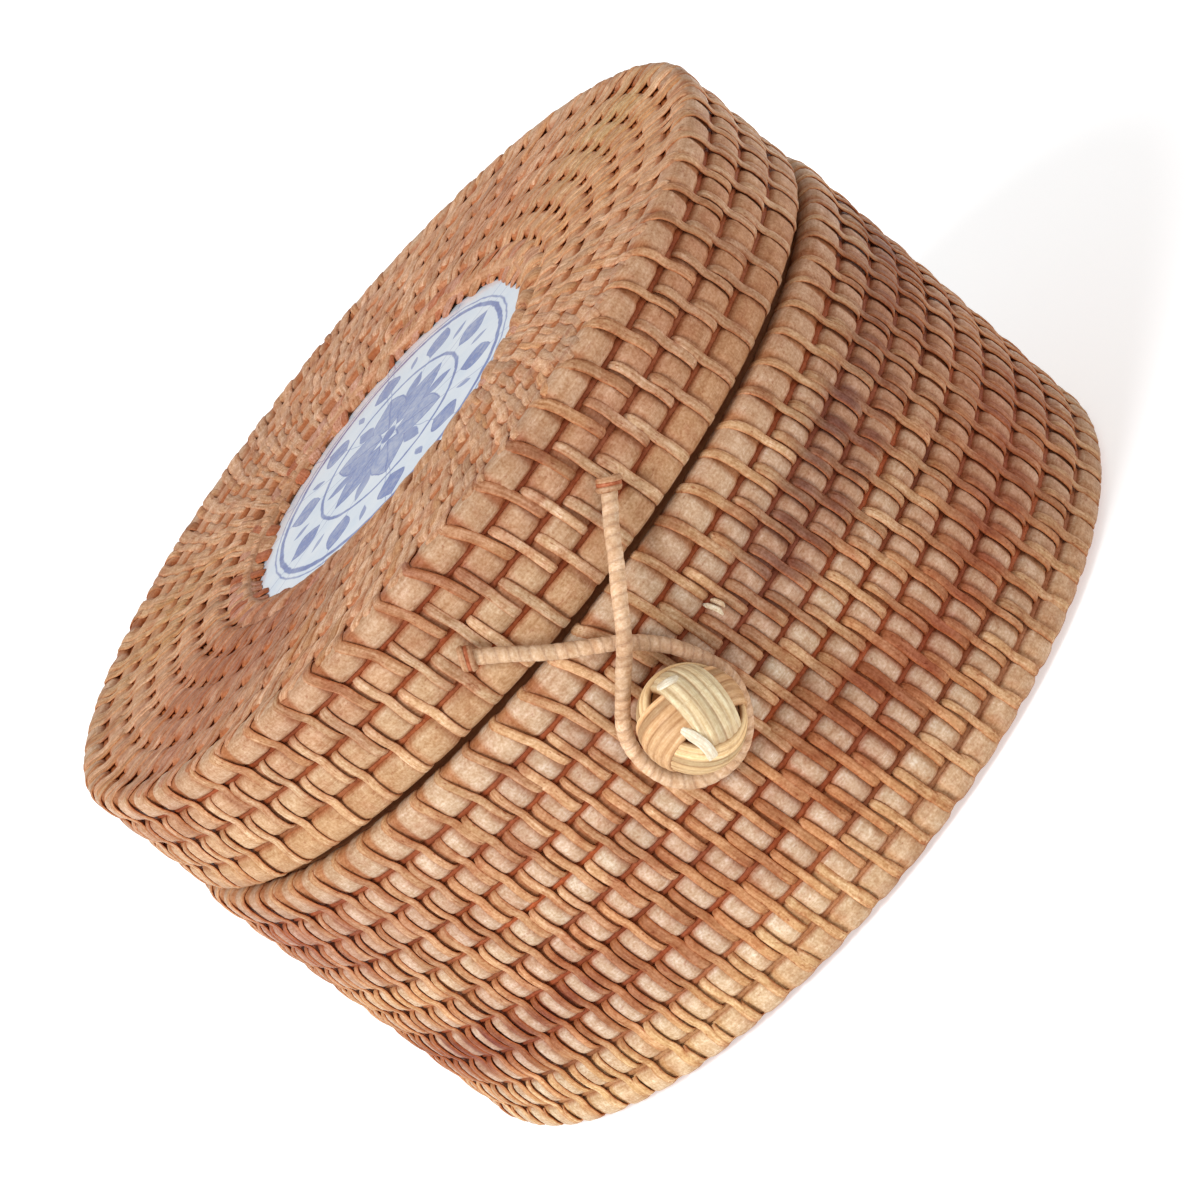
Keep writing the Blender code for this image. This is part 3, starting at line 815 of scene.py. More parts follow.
def button(name, radius, low, high, colour, mat, seed, count=9):
    """The coil's own start: a short bound spiral, as a crowned button."""
    az = np.linspace(0, 360, 72, endpoint=False)
    rings = np.linspace(0, 1, 12)
    mid, rise = (low + high) / 2, (high - low) / 2
    prof = []
    for s in rings[1:]:
        prof.append((radius * s * (1 if s < 1 else 0.999), rise * (1 - 0.10 * s**2 - 0.75 * max(0, s - 0.86) / 0.14)))
    prof += [(p[0], -p[1]) for p in prof[::-1]]
    prof = np.array(prof)
    t = np.radians(az)[:, None]
    lobes = 1 - 0.03 * (0.5 + 0.5 * np.cos(np.radians(az * count)))[:, None]
    swirl = 0.14 * np.sin(np.radians(az * count)[:, None] + prof[:, 0] * 1.6) * np.sign(prof[:, 1])
    r = prof[:, 0] * lobes
    z = mid + prof[:, 1] + swirl * (prof[:, 0] / radius)
    body = np.stack([r * np.sin(t), -r * np.cos(t), z], -1).reshape(-1, 3)
    k = len(prof)
    faces = grid_faces(72, k, close_rows=True)
    points = np.vstack([body, [[0, 0, mid + rise], [0, 0, mid - rise]]])
    i = np.arange(72)
    j = (i + 1) % 72
    top = np.stack([np.full(72, 72 * k), j * k, i * k], 1)
    under = np.stack([np.full(72, 72 * k + 1), i * k + k - 1, j * k + k - 1], 1)
    both = volume(points, faces)
    if both < 0:
        faces = faces[:, ::-1]
    if volume(points, top) < 0:
        top = top[:, ::-1]
    if volume(points - [0, 0, mid], under) < 0:
        under = under[:, ::-1]
    tone = np.broadcast_to(colour, (len(points), 3)).copy()
    # painted shade: darker in the valleys between the spiral's turns
    valley = np.r_[np.broadcast_to(0.5 - 0.5 * np.sin(np.radians(az * count)[:, None] + prof[:, 0] * 1.6), r.shape).ravel(), 0, 0]
    tone = tone * (1 - 0.45 * valley[:, None]) + GROOVE_SHADE * 0.45 * valley[:, None]
    grain = points * [1.0, 1.0, 0.2] + seed
    return make(name, points, [faces, top, under], mat, tone, grain, smooth=50)


piece = button("button_base", 9.2, 0.55, 5.55, TAN, INNER_MAT, 3.0)
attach(piece, "canister")
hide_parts("base_centre")

# ---- the wall's inside ----------------------------------------------------------------
for row in range(9):
    up, down = wall[row], wall[row + 1]
    line = over_pair((*down, 180), (*up, 180), 70, 70 if row else 62, 0.35)
    piece = stitches(
        f"stitches_inside_{row + 1:02d}", line, PER_ROW, phases[row] + 1.1, -0.6, 1.9,
        INNER_MAT, [(TAN, 4), (TAN * 1.12, 2), (TAN * 0.84, 2), (HONEY, 1)], kind="plain", seed=200 + row,
        steps=11, lift=0.12, thick=0.45, ref=75.0,
    )
    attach(piece, "canister")

# ---- the lid ------------------------------------------------------------------------------
LID_COUNT = 63
lid = []
high = HEIGHT
for row, tall in enumerate(LID_ROWS):
    low = high - tall
    top = high - (0.50 if row == 0 else 0.12)
    bottom = low + (0.25 if row == 3 else 0.12)
    lid.append((R_LID - HALF, 2.85, (top + bottom) / 2, (top - bottom) / 2))
    high = low
lid_phase = [1.2]
for row in range(1, 3):
    lid_phase.append(lid_phase[-1] + 2.0 + float(rng.normal(0, 0.12)))


def lean_rim(az):
    return 2.8 + 1.2 * np.sin(np.radians(np.clip(az, -70, 70) * 1.2))


def lean_lid(az):
    return 1.6 + 0.7 * np.sin(np.radians(az))


for row, (mid_r, half_r, mid_z, half_z) in enumerate(lid):
    segs = LID_COUNT * 14
    az = np.linspace(0, 360, segs, endpoint=False)
    signed = (az + 180) % 360 - 180
    at = between(
        lid_phase[row - 1] if row else None, lid_phase[row] if row < 3 else None,
        lean_rim if row == 1 else lean_lid, lean_lid if row else lean_rim, signed, 79.0,
        middle=0.5 if row else 0.68, start=0.0 if row else 0.3,
    )
    piece = coil(
        f"coil_lid_{row + 1:02d}", mid_r, half_r, mid_z - half_z, mid_z + half_z,
        segs, 20, LID_WINDOWS[row], COIL_MAT, (LID_COUNT, at, (0.60, 0.62, 0.62, 0.55)[row]),
        seed=300 + row * 7, kind="wall",
        # border: painted shade on the coil where the strips cover it
        border=LID_STRIPS[min(row, 2)] * 0.35 + OUTLINE_SHADE * 0.5, cover=(0.26, 0.46, 0.46, 0.26)[row], crest=row == 0, last=row == 3,
    )
    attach(piece, "lid")
    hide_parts(f"lid_coil_{row + 1:02d}")

for row in range(3):
    up, down = lid[row], lid[row + 1]
    leave = 160 if row == 0 else 76
    take = 100 if row == 2 else 76
    base_tone = LID_STRIPS[row]
    piece = stitches(
        f"stitches_lid_{row + 1:02d}", over_pair((*up, 0), (*down, 0), leave, take),
        LID_COUNT, lid_phase[row], lean_rim if row == 0 else lean_lid, (1.9, 1.75, 1.8)[row],
        STRIP_MAT, [(base_tone, 4), (base_tone * 1.1, 2), (base_tone * 0.86, 2)], seed=310 + row,
        steps=28 if row == 0 else 19, ref=79.0, middle=0.68 if row == 0 else 0.5,
        start=0.3 if row == 0 else 0.0,
    )
    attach(piece, "lid")

# the core rings are real filling of the weave, coloured dark red-brown as painted shade deep in the grooves
core(
    "core_lid", [(r + 0.65, 1.15, z - v - 0.12, 0.95) for r, h, z, v in lid[:-1]],
    lin(152, 74, 38), COIL_MAT, "lid",
)

# inside of the lid's wall
for row in range(3):
    up, down = lid[row], lid[row + 1]
    piece = stitches(
        f"stitches_lid_inside_{row + 1:02d}", over_pair((*down, 180), (*up, 180), 70, 64, 0.35),
        LID_COUNT, lid_phase[row] + 1.6, -0.8, 2.0, INNER_MAT, [(TAN, 4), (TAN * 1.12, 2), (TAN * 0.84, 2)],
        kind="plain", seed=330 + row, steps=11, lift=0.12, thick=0.45, ref=74.0,
    )
    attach(piece, "lid")

# ---- the lid's top ------------------------------------------------------------------------
TOP_HIGHS = (95.2, 95.2, 95.2, 95.15, 94.85, 93.9)
tops = [(r, 2.80, z - 0.42 - 2.70, 2.70) for r, z in zip(TOP_RADII, TOP_HIGHS)]
TOP_PALE = lin(214, 170, 134)
TOP_POWER = 4.5
for turn, (mid_r, half_r, mid_z, half_z) in enumerate(tops):
    piece = coil(
        f"coil_top_{turn + 1:02d}", mid_r, half_r, mid_z - half_z, mid_z + half_z,
        max(180, int(mid_r * 4.6)), 18, TOP_PALE, COIL_MAT, seed=400 + turn, kind="top", power=TOP_POWER,
        wobble=0.08, last=turn == 5,
    )
    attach(piece, "lid")
    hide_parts(f"lid_top_coil_{turn + 1:02d}")

rim = lid[0]
# strips per groove from the rim inwards, and the angle of one of them
TOP_COUNTS = (55, 56, 54, 47, 45, 42)
TOP_AT = (67.1, 65.2, 66.8, 63.4, 65.2, 66.8)
TOP_WIDTHS = ((2.7, 2.0), (2.5, 1.9), (2.25, 1.65), (2.25, 1.65), (2.0, 1.45), (1.85, 1.35))
TOP_PALETTE = [(TOP_PALE, 4), (TOP_PALE * 1.10, 2), (TOP_PALE * 0.88, 2), (lin(204, 152, 108), 1)]


def lie_down(share):
    """Strips on the top cross the grooves steeply and lie down over the crests."""
    return share - 0.035 * np.sin(4 * np.pi * share)


for turn in range(6):
    inner = tops[turn]
    outer_ring = rim if turn == 0 else tops[turn - 1]
    if turn == 0:
        line = over_pair((*inner, 90), (*rim, 90), 50, 34, 0.15, (TOP_POWER, POWER))
    else:
        line = over_pair((*inner, 90), (*outer_ring, 90), 50, 50, 0.15, (TOP_POWER, TOP_POWER))
    groove_r = (inner[0] + outer_ring[0]) / 2
    first, second = TOP_WIDTHS[turn]
    for word, by, width, lift in (("", 0.0, first, 0.20), ("second_", (first + second) * 0.53, second, 0.17)):
        piece = stitches(
            f"stitches_top_{word}{turn + 1:02d}", line, TOP_COUNTS[turn],
            TOP_AT[turn] + math.degrees(by / groove_r), -4.4 + 0.2 * turn, width,
            STRIP_MAT, TOP_PALETTE, kind="top", seed=420 + turn + (20 if word else 0), steps=18,
            lift=lift, thick=0.40, fade=0.14, even=True, flow=lie_down, ref=groove_r, spread=0.07,
            middle=0.55 if turn == 0 else 0.5, edge=0.50, jitter=0.8,
        )
        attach(piece, "lid")

# the top's core rings take the holes' painted shade
core(
    "core_top",
    [((a[0] + b[0]) / 2, 1.0 if a is not rim else 1.5, min(a[2] + a[3], b[2] + b[3]) - 1.5, 1.0)
     for a, b in zip([rim] + tops[:-1], tops)],
    HOLE_SHADE * 0.86, COIL_MAT, "lid", "top",
)

# underside of the lid's top
for turn in range(5):
    count = TOP_COUNTS[turn + 1]
    a, b = tops[turn], tops[turn + 1]
    piece = stitches(
        f"stitches_lid_under_{turn + 1:02d}", over_pair((*a, -90), (*b, -90), 66, 66, 0.3),
        count, turn * 2.7, 1.2, 2.3, INNER_MAT, [(TAN, 4), (TAN * 1.12, 2), (TAN * 0.84, 2), (HONEY, 1)],
        kind="plain", seed=460 + turn, steps=11, lift=0.12, thick=0.45,
    )
    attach(piece, "lid")

# ---- the porcelain disc ---------------------------------------------------------------------
DISC_R = 35.6


def disc():
    """A thin glazed disc, its face a little crowned and its edge rounded."""
    prof = [(0.0, 92.22)]
    for s in np.linspace(0.04, 0.955, 30):
        prof.append((DISC_R * s, 91.68 + 0.52 * (1 - s**2)))
    for a in np.linspace(10, 90, 7):
        prof.append((DISC_R - 1.3 + 1.3 * math.sin(math.radians(a)), 90.55 + 1.12 * math.cos(math.radians(a))))
    prof += [(DISC_R, 90.1), (DISC_R - 0.3, 89.4), (DISC_R - 1.4, 89.0), (DISC_R - 3.0, 88.93), (16.0, 88.93)]
    prof = np.array(prof[1:])
    segs = 180
    t = np.radians(np.linspace(0, 360, segs, endpoint=False))[:, None]
    body = np.stack([prof[:, 0] * np.sin(t), -prof[:, 0] * np.cos(t), np.broadcast_to(prof[:, 1], (segs, len(prof)))], -1)
    k = len(prof)
    points = np.vstack([body.reshape(-1, 3), [[0, 0, 92.22], [0, 0, 88.93]]])
    faces = grid_faces(segs, k, close_rows=True)
    i = np.arange(segs)
    j = (i + 1) % segs
    top = np.stack([np.full(segs, segs * k), i * k, j * k], 1)
    under = np.stack([np.full(segs, segs * k + 1), j * k + k - 1, i * k + k - 1], 1)
    if volume(points - [0, 0, 90], faces) < 0:
        faces = faces[:, ::-1]
    if volume(points - [0, 0, 90], top) < 0:
        top = top[:, ::-1]
    if volume(points - [0, 0, 90], under) < 0:
        under = under[:, ::-1]
    return make("porcelain_face", points, [faces, top, under], glaze(), smooth=60)


def glaze():
    """White glaze with underglaze blue: a rosette of six petals, a ring of leaf
    sprigs and a banded border."""
    mat, tree, out = shader_of("porcelain", 0.18, 0.5)
    place = node(tree, "ShaderNodeTexCoord").outputs["Object"]
    soft = node(tree, "ShaderNodeTexNoise")
    soft.inputs["Scale"].default_value = 260
    soft.inputs["Detail"].default_value = 2.0
    tree.links.new(place, soft.inputs["Vector"])
    # a brush's unsteadiness
    drift = node(tree, "ShaderNodeVectorMath", operation="MULTIPLY_ADD")
    tree.links.new(soft.outputs["Color"], drift.inputs[0])
    drift.inputs[1].default_value = (0.0011, 0.0011, 0)
    tree.links.new(place, drift.inputs[2])
    split = node(tree, "ShaderNodeSeparateXYZ")
    tree.links.new(drift.outputs[0], split.inputs[0])
    x = maths(tree, "MULTIPLY", maths(tree, "SUBTRACT", split.outputs[0], 0.00055), 1000.0)
    y = maths(tree, "MULTIPLY", maths(tree, "SUBTRACT", split.outputs[1], 0.00055), 1000.0)
    r = maths(tree, "SQRT", maths(tree, "ADD", maths(tree, "MULTIPLY", x, x), maths(tree, "MULTIPLY", y, y)))
    angle = maths(tree, "ARCTAN2", x, y)

    def band(value, centre, half, soften):
        away = maths(tree, "ABSOLUTE", maths(tree, "SUBTRACT", value, centre))
        return ranged(tree, away, half - soften, half + soften, 1.0, 0.0, True)

    def petals(count, turn, inner, outer, fat):
        """Leaf shapes, count of them, from the inner to the outer radius."""
        a = maths(tree, "MULTIPLY", maths(tree, "ADD", angle, turn), count / (2 * math.pi))
        cell = maths(tree, "SUBTRACT", a, maths(tree, "FLOOR", a))
        off = maths(tree, "MULTIPLY", maths(tree, "SUBTRACT", cell, 0.5), 2 * math.pi / count)
        side = maths(tree, "ABSOLUTE", maths(tree, "MULTIPLY", maths(tree, "SINE", off), r))
        along = ranged(tree, r, inner, outer, 0.0, math.pi)
        reach = maths(tree, "MULTIPLY", maths(tree, "SINE", along), fat)
        return maths(tree, "SUBTRACT", reach, side), side

    rosette, side = petals(6, 0.2, 2.2, 15.8, 4.6)
    fill = ranged(tree, rosette, 0.0, 0.55, 0.0, 1.0, True)
    vein = ranged(tree, side, 0.14, 0.50, 1.0, 0.0, True)
    rim_line = band(rosette, 0.24, 0.30, 0.20)
    brush = noise(tree, scaled(tree, place, 900, 900, 900), 1.0, 3.0, 0.6)
    wash = ranged(tree, brush, 0.3, 0.7, 0.55, 1.0)
    blue = maths(tree, "MULTIPLY", fill, wash)
    blue = maths(tree, "MAXIMUM", blue, rim_line)
    blue = maths(tree, "MAXIMUM", blue, maths(tree, "MULTIPLY", vein, fill))
    heart = ranged(tree, r, 1.7, 2.4, 1.0, 0.0, True)
    blue = maths(tree, "MAXIMUM", blue, heart)
    between, _ = petals(6, 0.2 + math.pi / 6, 8.6, 16.6, 1.9)
    blue = maths(tree, "MAXIMUM", blue, maths(tree, "MULTIPLY", ranged(tree, between, 0.0, 0.35, 0.0, 1.0, True), 0.9))
    sprigs, sprig_side = petals(10, 0.05, 19.2, 27.2, 3.3)
    sprig = maths(tree, "MULTIPLY", ranged(tree, sprigs, 0.0, 0.4, 0.0, 1.0, True), wash)
    blue = maths(tree, "MAXIMUM", blue, maths(tree, "MULTIPLY", sprig, 1.15))
    blue = maths(tree, "MAXIMUM", blue, maths(tree, "MULTIPLY", band(sprigs, 0.16, 0.22, 0.16), 1.0))
    small, _ = petals(20, 0.05 + math.pi / 20, 20.8, 25.6, 1.0)
    blue = maths(tree, "MAXIMUM", blue, maths(tree, "MULTIPLY", ranged(tree, small, 0.0, 0.3, 0.0, 1.0, True), 0.8))
    for centre, half, strength in ((17.7, 0.42, 0.95), (28.7, 0.55, 1.0), (30.3, 0.22, 0.8)):
        blue = maths(tree, "MAXIMUM", blue, maths(tree, "MULTIPLY", band(r, centre, half, 0.18), strength))
    pool = noise(tree, scaled(tree, place, 160, 160, 160), 1.0, 3.0, 0.6)
    blue = maths(tree, "MULTIPLY", blue, ranged(tree, pool, 0.3, 0.7, 0.78, 1.15), clamp=True)
    white = mixed(tree, ranged(tree, pool, 0.35, 0.65, 0.0, 1.0), lin(230, 236, 241), lin(216, 227, 238))
    cobalt = mixed(tree, ranged(tree, brush, 0.35, 0.65, 0.0, 1.0), lin(52, 74, 156), lin(82, 112, 180))
    tree.links.new(mixed(tree, blue, white, cobalt), out.inputs["Base Color"])
    out.inputs["Coat Weight"].default_value = 0.4
    out.inputs["Coat Roughness"].default_value = 0.06
    lift = node(tree, "ShaderNodeBump")
    lift.inputs["Strength"].default_value = 0.12
    lift.inputs["Distance"].default_value = 0.0004
    tree.links.new(pool, lift.inputs["Height"])
    tree.links.new(lift.outputs[0], out.inputs["Normal"])
    return mat


piece = disc()
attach(piece, "lid")
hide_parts("porcelain_disc")

# the ring that holds the disc, under uneven tongues of cane
piece = coil(
    "binding_ring", 35.9, 0.8, 91.6, 92.55, 260, 10, TAN, STRIP_MAT, seed=500, kind="top",
    power=2.0, wobble=0.12,
)
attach(piece, "lid")
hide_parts("porcelain_binding")


def bezel_line(inner_r):
    """From on the disc, over the binding ring and the last coil to its groove."""
    return curve_through(
        [(inner_r, 91.95), (inner_r + 0.9, 92.15), (35.9, 92.72), (37.1, 93.25), (38.4, 93.62), (39.8, 93.68),
         (41.0, 93.45), (41.8, 92.9), (42.3, 92.0)], 60
    )


for k, (inner_r, count, turn, width) in enumerate(
    ((34.6, 44, 4.0, 2.6), (34.1, 38, 6.0, 2.4), (35.0, 30, 9.0, 2.6), (33.2, 17, 14.0, 3.0), (32.5, 7, 31.0, 2.4))
):
    piece = stitches(
        f"tongues_{k + 1}", bezel_line(inner_r), count, turn, -5.0, width, STRIP_MAT,
        [(TAN, 3), (PINK_TAN, 2), (RUSSET * 1.2, 1)], kind="top", seed=510 + k, steps=16,
        lift=0.12 + 0.03 * k, thick=0.42, jitter=1.8, fade=0.30, even=True, edge=0.45,
    )
    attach(piece, "lid")

# thicker wraps among them: a row along the front, which steps the disc's near
# edge, and a few wide ones
for k, (inner_r, count, turn, width) in enumerate(((34.0, 40, 1.0, 3.6), (32.9, 5, 20.0, 4.0))):
    piece = stitches(
        f"wraps_{k + 1}", bezel_line(inner_r), count, turn, -6.0, width, STRIP_MAT,
        [(TOP_PALE, 3), (TOP_PALE * 0.9, 2)], kind="top", seed=530 + k, steps=16,
        lift=(0.84, 0.30)[k], thick=(1.10, 0.60)[k], jitter=2.2, fade=0.30, even=True, edge=0.40,
        keep=(lambda a: np.cos(np.radians(a)) > 0.26) if k == 0 else None,
    )
    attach(piece, "lid")

# the coiled seat under the disc, seen with the lid open
seat_points, seat_faces, seat_tone, seat_grain = [], [], [], []
count = 0
for k, (radius, half) in enumerate(((34.9, 0.95), (31.6, 2.95), (25.5, 2.95), (19.4, 2.95), (13.3, 2.95), (7.2, 2.95))):
    segs, sides = 150, 10
    x, y, a = oval(sides, 2.2)
    az = np.linspace(0, 360, segs, endpoint=False)
    t = np.radians(az)[:, None]
    ripple = 0.10 * np.cos(np.radians(az * int(radius * 0.9 + 6)))[:, None]
    r = radius + x * half + 0 * t
    z = 87.6 + y * 0.98 + ripple * y * -1
    p = np.stack([r * np.sin(t), -r * np.cos(t), z], -1)
    f = grid_faces(segs, sides, True, True)
    if volume(p.reshape(-1, 3), f) < 0:
        f = f[:, ::-1]
    seat_points.append(p.reshape(-1, 3))
    seat_faces.append(f + count)
    # painted shade: each turn darkens towards its grooves
    deep = (np.clip((np.abs(x) - 0.5) / 0.4, 0, 1) * 0.8)[None, :, None]
    stripe = (0.5 + 0.5 * np.cos(np.radians(az * int(radius * 0.9 + 6))))[:, None, None] * 0.35
    c = np.broadcast_to(TAN, (segs, sides, 3)) * (1 - stripe) + RUSSET * stripe
    c = c * (1 - deep) + GROOVE_SHADE * deep
    seat_tone.append(c.reshape(-1, 3))
    seat_grain.append(np.stack([np.broadcast_to(a * 3, r.shape), np.broadcast_to(t * radius, r.shape), np.full(r.shape, k)], -1).reshape(-1, 3))
    count += segs * sides
piece = make(
    "coil_seat", np.vstack(seat_points), [np.vstack(seat_faces)], INNER_MAT,
    np.vstack(seat_tone), np.vstack(seat_grain), smooth=None,
)
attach(piece, "lid")
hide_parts("porcelain_seat")
piece = button("button_seat", 4.0, 86.65, 88.55, TAN, INNER_MAT, 8.0, 7)
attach(piece, "lid")

# ---- the inner collar -------------------------------------------------------------------------
prof = np.array(
    [(70.9, 56.3), (71.3, 56.0), (73.4, 56.0), (73.95, 56.5), (74.1, 57.2), (74.1, 67.9), (73.2, 68.8),
     (72.55, 69.4), (72.5, 73.5), (72.3, 74.4), (71.9, 75.0), (71.4, 75.15), (70.95, 74.8), (70.85, 74.2)]
)
segs = 216
az = np.linspace(0, 360, segs, endpoint=False)
t = np.radians(az)[:, None]
step = 0.0 * t
points = np.stack([prof[:, 0] * np.sin(t), -prof[:, 0] * np.cos(t), np.broadcast_to(prof[:, 1], (segs, len(prof)))], -1)
faces = grid_faces(segs, len(prof), True, True)
if volume(points.reshape(-1, 3), faces) < 0:
    faces = faces[:, ::-1]
joint = np.exp(-(((az - 152) / 1.1) ** 2))[:, None, None]
nodes_dark = sum(np.exp(-(((az - c) / 1.6) ** 2)) for c in (38, 131, 247, 322))[:, None, None]
tone = np.broadcast_to(lin(214, 178, 122), (segs, len(prof), 3)).copy()
tone *= 1 - 0.55 * joint - 0.18 * np.clip(nodes_dark, 0, 1)
# its outer side is painted darker where it shows between lid and canister: painted shade for that narrow opening
seam_shade = np.array([1.0 if r_ > 72.0 and 63 < z_ < 73.8 else 0.0 for r_, z_ in prof])[None, :, None]
tone = tone * (1 - seam_shade) + lin(204, 134, 88) * seam_shade
grain = np.stack([np.broadcast_to(t * 72, points.shape[:2]), points[..., 2] * 1.0, np.full(points.shape[:2], 2.0)], -1)
piece = make("collar", points.reshape(-1, 3), [faces], BAMBOO_MAT, tone.reshape(-1, 3), grain.reshape(-1, 3), smooth=50)
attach(piece, "canister")
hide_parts("inner_collar")


# ---- the knotted ball -----------------------------------------------------------------------
def around(az, r, z):
    a = math.radians(az)
    return np.array([r * math.sin(a), -r * math.cos(a), z])


BALL = around(BALL_AZ, BALL_REACH, BALL_Z)
toward = unit(np.array([-0.31, -0.95, 0.04]))
helper = unit(np.cross(toward, [0, 0, 1]))
lift_axis = np.cross(helper, toward)
spin = math.radians(27)
axes = []
for k in range(3):
    a = spin + k * 2 * math.pi / 3
    flat = helper * math.cos(a) + lift_axis * math.sin(a)
    axes.append(unit(toward * math.sqrt(1 / 3) + flat * math.sqrt(2 / 3)))


def ball_band(name, normal, start, half_angle, colour, seed):
    """A wide band of straw strands round the ball, over one neighbour and under
    the other."""
    e1 = unit(start - normal * (start @ normal))
    e2 = np.cross(normal, e1)
    rows, cols = 132, 45
    phi = np.linspace(0, 2 * np.pi, rows, endpoint=False)[:, None]
    psi = np.linspace(-half_angle, half_angle, cols)[None, :]
    strands = 6
    u = (psi / half_angle + 1) / 2 * strands
    valley = np.abs(np.sin(np.pi * u)) ** 0.55
    edge = np.clip((np.abs(psi) / half_angle - 0.86) / 0.14, 0, 1)
    local = np.random.default_rng(seed)
    lift = 0.30 * np.cos(2 * phi) + 0.02 * np.sin(5 * phi + seed)
    outer = 8.42 + lift + 0.13 * (valley - 1) - 0.42 * edge**1.6 + 0.10 * np.cos(psi / half_angle * 1.4)
    inner = outer * 0 + 8.42 + lift - 0.75
    sway = 0.035 * np.sin(2 * phi + seed * 1.7)
    layers = []
    for radius in (outer, inner[:, ::-1]):
        p = psi if radius is outer else psi[:, ::-1]
        p = p + sway
        v = (
            np.cos(p)[..., None] * (np.cos(phi)[..., None] * e1 + np.sin(phi)[..., None] * e2)
            + np.sin(p)[..., None] * normal
        )
        layers.append(BALL + v * radius[..., None])
    points = np.concatenate(layers, axis=1)
    faces = grid_faces(rows, cols * 2, True, True)
    flat = points.reshape(-1, 3)
    if volume(flat - BALL, faces) < 0:
        faces = faces[:, ::-1]
    shades = 1 + 0.12 * local.normal(0, 1, strands + 1)
    shade = shades[np.clip(u.astype(int), 0, strands)]
    tone = np.broadcast_to(colour, (rows, cols, 3)) * shade[..., None]
    # painted shade: the band is darker in the valleys between its strands and at its edges
    dark = ((1 - valley) * 0.55 + 0.35 * edge)[..., None]
    tone = tone * (1 - dark) + lin(150, 92, 46) * dark
    # painted shade where the band dips under its neighbours
    under = np.clip(-np.cos(2 * phi), 0, 1)[..., None] * 0.30
    tone = tone * (1 - under) + lin(176, 112, 58) * under
    # painted shade: the band's inner face, towards the core, is darker
    tone = np.concatenate([tone, np.broadcast_to(lin(160, 104, 58), (rows, cols, 3))], axis=1)
    grain = np.stack([np.broadcast_to(phi * 8, (rows, cols)), np.broadcast_to(psi * 8, (rows, cols)), np.full((rows, cols), seed)], -1)
    grain = np.concatenate([grain, grain], axis=1)
    return make(name, flat, [faces], STRAW_MAT, tone.reshape(-1, 3), grain.reshape(-1, 3), smooth=70)


def ball_core():
    rows, cols = 26, 40
    th = np.linspace(0.02, np.pi - 0.02, rows)[:, None]
    ph = np.linspace(0, 2 * np.pi, cols, endpoint=False)[None, :]
    v = np.stack([np.sin(th) * np.cos(ph), np.sin(th) * np.sin(ph), np.cos(th) + 0 * ph], -1)
    points = (BALL + v * 7.55).reshape(-1, 3)
    points = np.vstack([points, [BALL + [0, 0, 7.55], BALL - [0, 0, 7.55]]])
    faces = grid_faces(rows, cols, close_cols=True)
    i = np.arange(cols)
    j = (i + 1) % cols
    top = np.stack([np.full(cols, rows * cols), i, j], 1)
    low = np.stack([np.full(cols, rows * cols + 1), (rows - 1) * cols + j, (rows - 1) * cols + i], 1)
    sets = []
    for f in (faces, top, low):
        sets.append(f[:, ::-1] if volume(points - BALL, f) < 0 else f)
    # the core the bands wrap round is coloured dark brown as painted shade in the holes between them
    tone = np.broadcast_to(lin(110, 66, 34), (len(points), 3))
    return make("ball_core", points, sets, STRAW_MAT, tone, points, smooth=None)


core = ball_core()
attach(core, "canister")
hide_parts("knot_ball")
BALL_COLOURS = (lin(238, 218, 176), lin(238, 206, 156), lin(230, 186, 138))
for k in range(3):
    piece = ball_band(f"ball_band_{k + 1}", axes[k], axes[(k + 1) % 3], 0.52, BALL_COLOURS[k], k + 1)
    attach(piece, "canister")


def loose_strips(name, ways, width, thick, mat, colours, section=STRIP, smooth=60, outward=None, taper=0.4):
    """Strips along given ways (lists of points) with their own outward sides."""
    count = 26
    lines = np.array([curve_through(w, count) for w in ways])
    if outward is None:
        out = np.stack([lines[..., 0], lines[..., 1], 0 * lines[..., 0]], -1)
        out = unit(out)
    else:
        out = unit(lines - np.array(outward))
    share = np.linspace(0, 1, count)
    w = width * (1 - taper * np.clip(1 - share / 0.2, 0, 1) - taper * np.clip((share - 0.8) / 0.2, 0, 1))
    points, sets = bands(lines, out, w[None, :], thick, section)
    sets = caps_face_out(points, sets)
    n, k = len(lines), len(section)
    tone = np.broadcast_to(np.array(colours)[:, None, None, :], (n, count, k, 3)).copy()
    grain = np.zeros((n, count, k, 3))
    grain[..., 0] = (share * 12)[None, :, None]
    grain[..., 1] = section[:, 0] * width / 2
    grain[..., 2] = np.arange(n)[:, None, None] * 3.3
    return make(name, points.reshape(-1, 3), sets, mat, tone.reshape(-1, 3), grain.reshape(-1, 3), smooth=smooth)


def on_ball(right, up, radius):
    """A point on the ball as seen from the front: mm to the right and up."""
    depth = math.sqrt(max(radius**2 - right**2 - up**2, 0.1))
    s, c = math.sin(math.radians(BALL_AZ)), math.cos(math.radians(BALL_AZ))
    return BALL + np.array([right * c + depth * s, right * s - depth * c, up])


# the straw's own end, tucked in beside the small hole, and a short second end near the top; their near-white colour is
# partly a painted highlight
piece = loose_strips(
    "ball_tail",
    [[on_ball(-1.9, 3.2, 8.35), on_ball(-1.5, 1.0, 8.95), on_ball(-1.4, -1.2, 9.02), on_ball(-1.9, -3.4, 8.98),
      on_ball(-3.0, -5.9, 8.45)],
     [on_ball(0.6, 8.3, 8.6), on_ball(2.2, 8.1, 9.05), on_ball(3.9, 7.2, 8.75)]],
    1.8, 0.42, STRAW_MAT, [lin(242, 230, 204), lin(244, 232, 206)], outward=BALL,
)
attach(piece, "canister")

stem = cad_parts["knot_stem"]
for slot_at in range(max(1, len(stem.material_slots))):
    if slot_at < len(stem.material_slots):
        stem.material_slots[slot_at].link = "OBJECT"
        stem.material_slots[slot_at].material = CORD_MAT
if not len(stem.material_slots):
    stem.data.materials.append(CORD_MAT)


